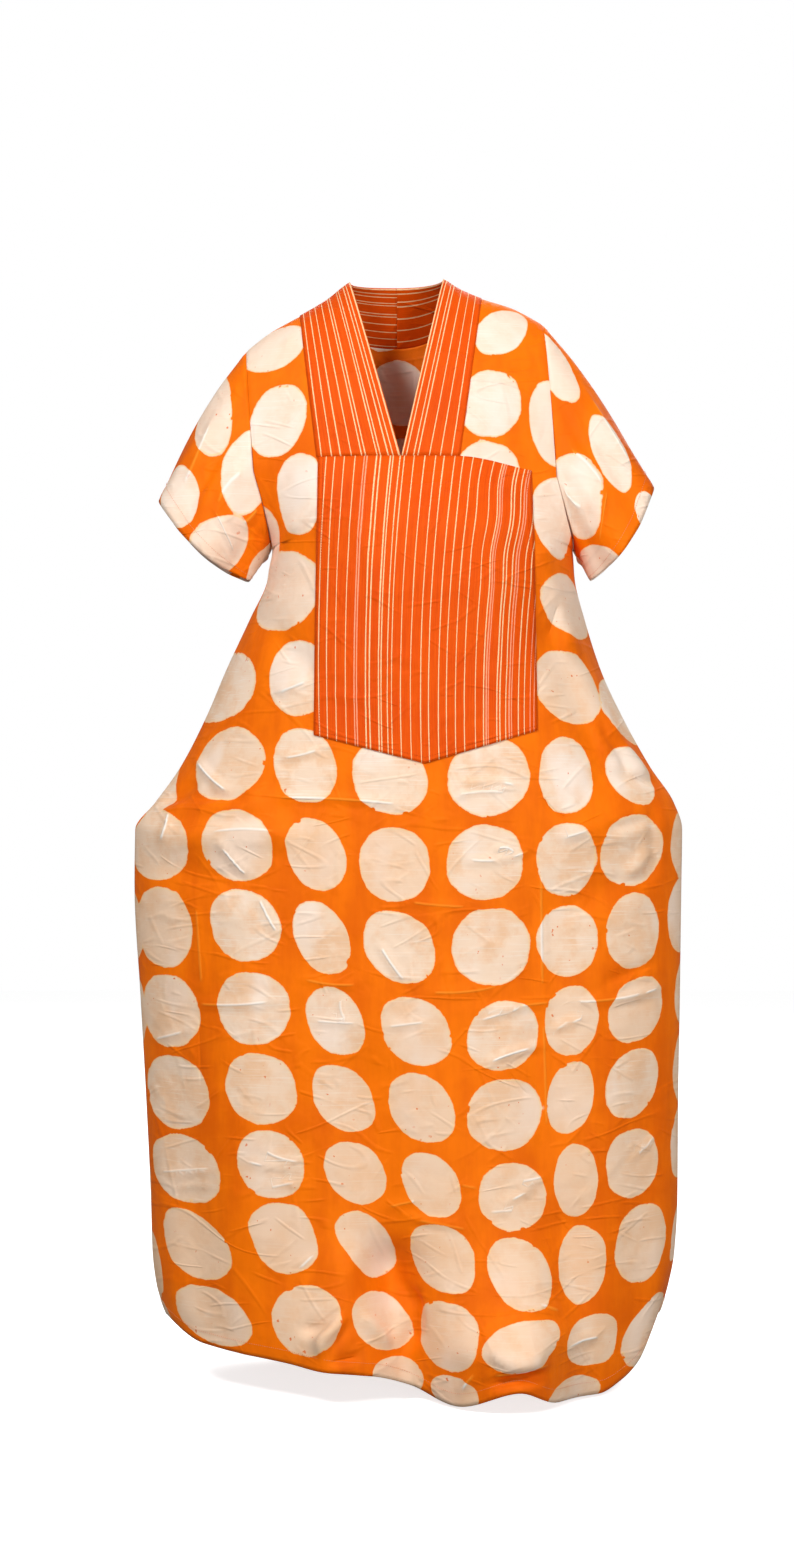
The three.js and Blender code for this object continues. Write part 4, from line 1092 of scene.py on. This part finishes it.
class StitchSettings(bpy.types.PropertyGroup):
    """The sewing thread's stitches."""

    pitch: FloatProperty(
        name="Pitch", description="From one stitch to the next",
        default=0.0032, min=0.001, max=0.01, **LENGTH,
    )
    length: FloatProperty(
        name="Length", description="Length of one stitch",
        default=0.0022, min=0.0005, max=0.008, **LENGTH,
    )
    width: FloatProperty(
        name="Thread", description="Width of the thread",
        default=0.0006, min=0.0002, max=0.0015, **LENGTH,
    )
    seed: IntProperty(name="Seed", description="Changes how the stitches vary", default=7, min=0)


class StageSettings(bpy.types.PropertyGroup):
    """The camera and the light."""

    distance: FloatProperty(
        name="Camera distance", description="From the camera to the middle of the dress",
        default=3.3, min=1.0, max=10.0, **LENGTH,
    )
    height: FloatProperty(
        name="Camera height", description="Height of the camera, from the neck's base",
        default=-0.6246, min=-3.0, max=3.0, **LENGTH,
    )
    lens: FloatProperty(
        name="Lens", description="Focal length in millimetres",
        default=59.62, min=20.0, max=200.0,
    )
    key: FloatProperty(
        name="Key light", description="Power of the large light in front",
        default=102.0, min=0.0, max=1000.0, subtype="POWER", unit="POWER",
    )
    surround: FloatProperty(
        name="Surround", description="Brightness of the white studio's light",
        default=0.22, min=0.0, max=3.0,
    )


# ---------------------------------------------------------------- operators

made = {}  # what the operators share: the form, the finishes and the stitches' tree

# Area lamps: where each stands, its share of the key light's power, and its size.
LAMPS = {
    "Key": ((-1.7, -2.9, 1.9), 1.0, 0.7),
    "Second key": ((2.0, -2.9, 1.7), 0.6, 0.7),
    "Fill": ((1.2, -3.2, -1.25), 0.5, 1.6),
    "Back": ((0.5, 3.3, 1.6), 0.85, 2.4),
}
LAMPS_AIM = Vector((0, 0, -0.6))
FLOOR_HALF, FLOOR_GLOW = 6.0, 0.74

POINT_WIDTH, TUCKED_ROWS = 16, 0.7  # how the front is cut along the V
BIB_STEPS = (24, 8, 14, 18)  # columns between the sewn lines that the bib covers
BIB_LIFT = 1.1  # how far its outer side lies above the front
# Two of its stripes, by their place in the weave in millimetres. Each follows a curve of the height in
# metres, and the others lie between and beside them, so they draw together over the chest.
BIB_LEANS = ((8.7, (143.0, 134.2, -64.4)), (217.0, (261.0, 285.3, 186.6)))
BAND_LAP, BAND_LIFT = 2.0, 1.0  # how far a neckband's outer edge laps over, and how far it lies above
BIB_SEAMS = (2.0, 6.5)  # how far in from the bib's edge its two rows of stitches run
BIB_RIGHT, BIB_LEFT, BIB_ROW = 100, 85, 25.0  # the rough size of its outer columns and of a row at its foot
HEM_SEAM = 14  # how far up the hem's stitches run
ON_BIB, ON_CUFF, ON_HEM = 1.9, 0.7, 0.9  # how far above the form each seam's thread lies


def form():
    """The dress's form, the same one for every piece."""
    if "form" not in made:
        made["form"] = Form()
    return made["form"]


def finish(name, maker, *more):
    """A finish by name, made the first time it is asked for."""
    if name not in made:
        made[name] = maker(name, bpy.context.scene.kaftan_cloth, *more)
    return made[name]


def dotted_finishes():
    """The dotted cotton's outer side, and its paler inner side."""
    return [finish("dotted_cotton", dotted_cotton), finish("dotted_cotton_inside", dotted_cotton, 0.18)]


def link_to_scene(name, data):
    """An object for a mesh, lamp or camera, at the origin."""
    placed = bpy.data.objects.new(name, data)
    bpy.context.scene.collection.objects.link(placed)
    return placed


class KAFTAN_OT_stage(bpy.types.Operator):
    """Sets the camera, the white floor and the soft studio light"""

    bl_idname = "kaftan.stage"
    bl_label = "Set the stage"

    def execute(self, context):
        scene, sizes = context.scene, context.scene.kaftan_stage
        lens = bpy.data.cameras.new("Camera")
        lens.lens, lens.sensor_width, lens.sensor_fit = sizes.lens, 36, "AUTO"
        lens.clip_start, lens.clip_end = 0.1, 50
        camera = scene.camera = link_to_scene("Camera", lens)
        camera.location = (0, -sizes.distance, sizes.height)
        camera.rotation_euler = (math.pi / 2, 0, 0)

        world = bpy.data.worlds.new("Studio")
        world.use_nodes = True
        nodes, link = world.node_tree.nodes, world.node_tree.links.new
        seen, given = nodes.new("ShaderNodeBackground"), nodes["Background"]
        seen.inputs["Color"].default_value = given.inputs["Color"].default_value = (1, 1, 1, 1)
        seen.inputs["Strength"].default_value = 1.0
        given.inputs["Strength"].default_value = sizes.surround
        path, both = nodes.new("ShaderNodeLightPath"), nodes.new("ShaderNodeMixShader")
        link(path.outputs["Is Camera Ray"], both.inputs[0])
        link(given.outputs[0], both.inputs[1])
        link(seen.outputs[0], both.inputs[2])
        link(both.outputs[0], nodes["World Output"].inputs["Surface"])
        scene.world = world
        scene.view_settings.view_transform = "Standard"

        for name, (place, share, size) in LAMPS.items():
            light = bpy.data.lights.new(name, "AREA")
            light.energy, light.size = sizes.key * share, size
            lamp = link_to_scene(name, light)
            lamp.location = place
            lamp.rotation_euler = (LAMPS_AIM - Vector(place)).to_track_quat("-Z", "Y").to_euler()

        f = Finish("studio_floor")
        grain = f.noise(f.place(), 30.0, 2.0)
        white = f.mix(grain, (0.90, 0.90, 0.90), (0.93, 0.93, 0.93))
        paper = f.cloth(white, 0.9, f.bump(grain, 0.0002))
        for node in f.nodes:
            if node.bl_idname == "ShaderNodeBsdfPrincipled":
                node.inputs["Emission Color"].default_value = (1, 1, 1, 1)
                node.inputs["Emission Strength"].default_value = FLOOR_GLOW
        mesh = bpy.data.meshes.new("floor")
        corners = ((-1, -1), (1, -1), (1, 1), (-1, 1))
        low = CAD_BOX[0][2] - 0.0005
        mesh.from_pydata([(x * FLOOR_HALF, y * FLOOR_HALF, low) for x, y in corners], [], [(0, 1, 2, 3)])
        mesh.materials.append(paper)
        floor = link_to_scene("floor", mesh)
        # the floor takes the dress's shadow, and sends no light of its own back up under the folds
        floor.visible_diffuse = floor.visible_glossy = False
        return {"FINISHED"}


class KAFTAN_OT_front(bpy.types.Operator):
    """Cuts the dotted front, with its drawn-out sides and creases"""

    bl_idname = "kaftan.front"
    bl_label = "Front"

    def execute(self, context):
        looks, dress, line = context.scene.kaftan_cloth, form(), FRONT.line
        grid = dress.front
        maps = panel_maps(grid, across_cloth(grid, line), FRONT_DOTS, FRONT_CREASES)
        # the cloth lies flat beneath the bib
        under_bib = (line >= 1) & (line <= 4)
        flat = under_bib[None, :] & (ROWS >= CHEST_ROW)[:, None] & (ROWS <= FOOT_ROW)[:, None]
        raised = np.where(flat, 0, relief(grid, FRONT_CREASES, 5, looks.crease_height))
        shell = grid + dress.front_out * raised[..., None]
        # the V is cut out, and away from its point the cut edge is tucked under the neckband
        strip = (line[:-1] >= 1) & (line[:-1] <= 3)
        near_point = np.abs(grid[SHOULDER_ROWS - 1, :-1, 0] - FRONT_LINES["chest"][2]) < POINT_WIDTH
        first = np.where(near_point, CHEST_ROW, CHEST_ROW - TUCKED_ROWS)
        keep = ~(strip[None, :] & (ROWS[:-1, None] < first[None, :]))
        piece = cloth_piece("front_cloth", shell, -1, maps, dotted_finishes(), looks.thickness, keep)
        sewn(piece, "front")
        return {"FINISHED"}


class KAFTAN_OT_back(bpy.types.Operator):
    """Cuts the dotted back, with the long folds that hang from its neckline"""

    bl_idname = "kaftan.back"
    bl_label = "Back"

    def execute(self, context):
        looks, dress = context.scene.kaftan_cloth, form()
        grid, run = dress.back, run_across(dress.back)
        middle = int(np.argmin(np.abs(grid[-1, :, 0])))
        maps = panel_maps(grid, run - run[:, middle:middle + 1], back_dots(), BACK_CREASES)
        raised = relief(grid, BACK_CREASES, 8, looks.crease_height)
        shell = grid + dress.back_out * raised[..., None]
        piece = cloth_piece("back_cloth", shell, 1, maps, dotted_finishes(), looks.thickness)
        sewn(piece, "back")
        return {"FINISHED"}


class KAFTAN_OT_sleeves(bpy.types.Operator):
    """Sets the two short open sleeves into their armholes"""

    bl_idname = "kaftan.sleeves"
    bl_label = "Sleeves"

    def execute(self, context):
        looks, dress = context.scene.kaftan_cloth, form()
        for side, outward in OUTWARD.items():
            grid, turn, s = sleeve_grid(side, dress.front, dress.back)
            out, run = normals_of(grid, outward), run_down(grid)
            left = run[-1] - run
            groove = 1 - smoothstep(run, 0, GROOVE_WIDTH)
            # the left sleeve's creases lie a little further round than the right one's
            where = np.degrees(turn) + (0 if side == "right" else 9) + 0 * s, -SLEEVE_LENGTH * s
            dots = dots_round(grid, out, turn, s, SLEEVE_DOTS[side])
            maps = {"print": nearest_dot(dots, grid.shape[:2]), "crests": crests(SLEEVE_CREASES, *where)}
            free = smoothstep(run, 0, 15) * smoothstep(left, 4, 20)
            raised = HEM_HEIGHT * turned_hem(left, CUFF_HEM) - GROOVE_DEPTH * groove
            raised = raised + ripple(turn, run) * smoothstep(run, 10, 60)
            raised = raised + looks.crease_height * creases(SLEEVE_CREASES, *where) * free
            shell = grid + out * raised[..., None]
            name, finishes = f"sleeve_{side}_cloth", dotted_finishes()
            piece = cloth_piece(name, shell, outward, maps, finishes, looks.thickness)
            sewn(piece, f"sleeve_{side}")
        return {"FINISHED"}


class KAFTAN_OT_bib(bpy.types.Operator):
    """Lays the striped bib with its pointed foot on the front"""

    bl_idname = "kaftan.bib"
    bl_label = "Bib"

    def execute(self, context):
        looks = context.scene.kaftan_cloth
        line = np.concatenate([np.full(n, k + 1) for k, n in enumerate(BIB_STEPS)] + [[len(BIB_STEPS)]])
        part = np.concatenate([np.arange(n) / n for n in BIB_STEPS] + [[1.0]])
        grid = FRONT.place(np.linspace(CHEST_ROW, FOOT_ROW, 110), line, part)
        edge, run = from_edges(grid), run_down(grid)
        x, z = grid[..., 0], grid[..., 2]
        turned = 1 - smoothstep(np.minimum(edge, run[-1] - run), 5, 8)
        soft = creases(BIB_CREASES, x, z) * smoothstep(edge, 0, 20) * looks.crease_height
        shell = grid + normals_of(grid, -1) * (BIB_LIFT + 0.3 * turned + soft)[..., None]
        first, last = (np.polyval(lean, z * MM) for _, lean in BIB_LEANS)
        start, end = (at for at, _ in BIB_LEANS)
        wave = 1.6 * np.sin(z / 15) * smoothstep(x, 70, 125) * smoothstep(z, -430, -330)
        u = ((x - first) / (last - first) * (end - start) + start + wave) * MM
        cotton = finish("bib_cotton", striped_cotton, BIB_STRIPES)
        maps = {"stripes": np.stack([u, -z * MM], -1)}
        piece = cloth_piece("bib_cloth", shell, -1, maps, [cotton], looks.band_thickness)
        sewn(piece, "bib")
        return {"FINISHED"}


class KAFTAN_OT_neckbands(bpy.types.Operator):
    """Sews the two striped halves of the neckband, from the point of the V to the centre back"""

    bl_idname = "kaftan.neckbands"
    bl_label = "Neckbands"

    def execute(self, context):
        looks = context.scene.kaftan_cloth
        for side, stripes in (("right", RIGHT_BAND_STRIPES), ("left", LEFT_BAND_STRIPES)):
            grid = band_grid(side)
            # its outer edge laps over the front and the back
            edge, beside = (0, 1) if side == "right" else (-1, -2)
            way = grid[:, edge] - grid[:, beside]
            grid[:, edge] += BAND_LAP * way / np.linalg.norm(way, axis=-1, keepdims=True)
            shell = grid + normals_of(grid, 1) * BAND_LIFT
            u = np.linspace(0, 0.1, grid.shape[1])[None, :] + 0 * grid[..., 0]
            maps = {"stripes": np.stack([u, run_down(grid) * MM], -1)}
            cotton = finish(f"neckband_{side}_cotton", striped_cotton, stripes)
            piece = cloth_piece(f"neckband_{side}_cloth", shell, 1, maps, [cotton], looks.band_thickness)
            sewn(piece, f"neckband_{side}")
        return {"FINISHED"}


def stitch_tree():
    """Stitches along a path: named inputs for their sizes, a fixed seed for how they vary."""
    tree = bpy.data.node_groups.new("Stitches", "GeometryNodeTree")
    face = tree.interface
    face.new_socket("Geometry", in_out="INPUT", socket_type="NodeSocketGeometry")
    for name, kind, value in (
        ("Pitch", "NodeSocketFloat", 0.003),
        ("Length", "NodeSocketFloat", 0.002),
        ("Width", "NodeSocketFloat", 0.0006),
        ("Seed", "NodeSocketInt", 7),
        ("Thread", "NodeSocketMaterial", None),
    ):
        socket = face.new_socket(name, in_out="INPUT", socket_type=kind)
        if value is not None:
            socket.default_value = value
    face.new_socket("Geometry", in_out="OUTPUT", socket_type="NodeSocketGeometry")

    asked, given, path, spaced, points, ball, vary, longer, size, laid, real, dressed = map(tree.nodes.new, (
        "NodeGroupInput", "NodeGroupOutput", "GeometryNodeMeshToCurve", "GeometryNodeResampleCurve",
        "GeometryNodeCurveToPoints", "GeometryNodeMeshUVSphere", "FunctionNodeRandomValue", "ShaderNodeMath",
        "ShaderNodeCombineXYZ", "GeometryNodeInstanceOnPoints", "GeometryNodeRealizeInstances",
        "GeometryNodeSetMaterial",
    ))
    spaced.mode, points.mode, longer.operation = "LENGTH", "EVALUATED", "MULTIPLY"
    for key, value in (("Segments", 6), ("Rings", 4), ("Radius", 0.5)):
        ball.inputs[key].default_value = value
    vary.inputs[2].default_value, vary.inputs[3].default_value = 0.88, 1.12
    asked, given = asked.outputs, given.inputs
    for source, end in (
        (asked["Geometry"], path.inputs["Mesh"]),
        (path.outputs[0], spaced.inputs["Curve"]),
        (asked["Pitch"], spaced.inputs["Length"]),
        (spaced.outputs[0], points.inputs[0]),
        (points.outputs["Points"], laid.inputs["Points"]),
        (points.outputs["Rotation"], laid.inputs["Rotation"]),
        (ball.outputs["Mesh"], laid.inputs["Instance"]),
        (asked["Seed"], vary.inputs["Seed"]),
        (vary.outputs[1], longer.inputs[0]),
        (asked["Length"], longer.inputs[1]),
        (asked["Width"], size.inputs[0]),
        (asked["Width"], size.inputs[1]),
        (longer.outputs[0], size.inputs[2]),
        (size.outputs[0], laid.inputs["Scale"]),
        (laid.outputs[0], real.inputs[0]),
        (real.outputs[0], dressed.inputs["Geometry"]),
        (asked["Thread"], dressed.inputs["Material"]),
        (dressed.outputs[0], given[0]),
    ):
        tree.links.new(source, end)
    return tree


def stitched(name, paths, material):
    """Stitches along some paths, each a run of points in millimetres, as a plain mesh on the frame."""
    sizes = bpy.context.scene.kaftan_stitches
    mesh = bpy.data.meshes.new(name + "_path")
    points = np.concatenate(paths) * MM
    starts = np.cumsum([0] + [len(p) for p in paths])
    edges = [(k, k + 1) for a, b in zip(starts[:-1], starts[1:]) for k in range(a, b - 1)]
    mesh.from_pydata(points.tolist(), edges, [])
    path = link_to_scene(name + "_path", mesh)
    sewing = path.modifiers.new("Stitches", "NODES")
    if "stitches" not in made:
        made["stitches"] = stitch_tree()
    sewing.node_group = made["stitches"]
    values = {key: getattr(sizes, key.lower()) for key in ("Pitch", "Length", "Width", "Seed")}
    values["Thread"] = material
    for item in sewing.node_group.interface.items_tree:
        if item.in_out == "INPUT" and item.name in values:
            sewing[item.identifier] = values[item.name]
    shown = path.evaluated_get(bpy.context.evaluated_depsgraph_get())
    plain = bpy.data.meshes.new_from_object(shown)
    plain.name = name
    bpy.data.objects.remove(path)
    bpy.data.meshes.remove(mesh)
    piece = link_to_scene(name, plain)
    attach(piece, "root")


def on_bib(grid):
    """A grid's points, raised to where thread lies on the bib."""
    return grid + ON_BIB * normals_of(grid, -1)


def row_up(run, left):
    """The row that lies about this far up from the last one, run being the length down to each point."""
    return int(np.argmin(np.abs((run[-1] - run).mean(axis=1) - left)))


class KAFTAN_OT_stitches(bpy.types.Operator):
    """Runs the rows of topstitching along the bib, the cuffs and the hem"""

    bl_idname = "kaftan.stitches"
    bl_label = "Topstitching"

    def execute(self, context):
        dress = form()
        red, amber = finish("red_thread", red_thread), finish("amber_thread", amber_thread)

        rows = np.linspace(CHEST_ROW, FOOT_ROW, 160)
        line = np.repeat((1, 2, 3, 4), (40, 8, 20, 30))
        part = np.concatenate([
            np.linspace(0.02, 1, 40), np.linspace(0, 1, 8), np.linspace(0, 1, 20), np.linspace(0, 0.98, 30),
        ])
        paths = []
        for inset in BIB_SEAMS:
            right = FRONT.place(rows, np.array([1, 1]), np.array([0.0, inset / BIB_RIGHT]))
            left = FRONT.place(rows, np.array([4, 4]), np.array([1 - inset / BIB_LEFT, 1.0]))
            foot = FRONT.place(FOOT_ROW - inset / BIB_ROW - np.array([0.5, 0]), line, part)
            foot = foot[:, np.r_[True, np.linalg.norm(np.diff(foot[1], axis=0), axis=1) > 0.01]]
            paths += [on_bib(right)[:, 1], on_bib(left)[:, 0], on_bib(foot)[1]]
        stitched("bib_stitches", paths, red)

        paths = []
        for side, outward in OUTWARD.items():
            grid, turn, _ = sleeve_grid(side, dress.front, dress.back, 60)
            out, run = normals_of(grid, outward), run_down(grid)
            row = row_up(run, CUFF_HEM)
            paths.append(grid[row] + out[row] * (ON_CUFF + ripple(turn, run[row]))[:, None])
        stitched("cuff_stitches", paths, amber)

        paths = []
        for grid, out in ((dress.front, dress.front_out), (dress.back, dress.back_out)):
            row = row_up(run_down(grid), HEM_SEAM)
            paths.append(grid[row] + out[row] * ON_HEM)
        stitched("hem_stitches", paths, amber)
        return {"FINISHED"}


class KAFTAN_PT_panel(bpy.types.Panel):
    """The dress's pieces and settings"""

    bl_idname = "KAFTAN_PT_panel"
    bl_label = "Kaftan dress"
    bl_space_type = "VIEW_3D"
    bl_region_type = "UI"
    bl_category = "Kaftan"

    def draw(self, context):
        for kind in OPERATORS:
            self.layout.operator(kind.bl_idname)
        for group in ("kaftan_cloth", "kaftan_stitches", "kaftan_stage"):
            settings = getattr(context.scene, group)
            column = self.layout.column(align=True)
            for key in type(settings).__annotations__:
                column.prop(settings, key)


SETTINGS = {"kaftan_cloth": ClothSettings, "kaftan_stitches": StitchSettings, "kaftan_stage": StageSettings}
OPERATORS = (KAFTAN_OT_stage, KAFTAN_OT_front, KAFTAN_OT_back, KAFTAN_OT_sleeves, KAFTAN_OT_bib,
             KAFTAN_OT_neckbands, KAFTAN_OT_stitches)


def register():
    for kind in (*SETTINGS.values(), *OPERATORS, KAFTAN_PT_panel):
        bpy.utils.register_class(kind)
    for name, kind in SETTINGS.items():
        setattr(bpy.types.Scene, name, PointerProperty(type=kind))


def unregister():
    for name in SETTINGS:
        delattr(bpy.types.Scene, name)
    for kind in reversed((*SETTINGS.values(), *OPERATORS, KAFTAN_PT_panel)):
        bpy.utils.unregister_class(kind)


def main():
    register()
    for step in (bpy.ops.kaftan.stage, bpy.ops.kaftan.front, bpy.ops.kaftan.back, bpy.ops.kaftan.sleeves,
                 bpy.ops.kaftan.bib, bpy.ops.kaftan.neckbands, bpy.ops.kaftan.stitches):
        step()


if __name__ == "__main__":
    main()
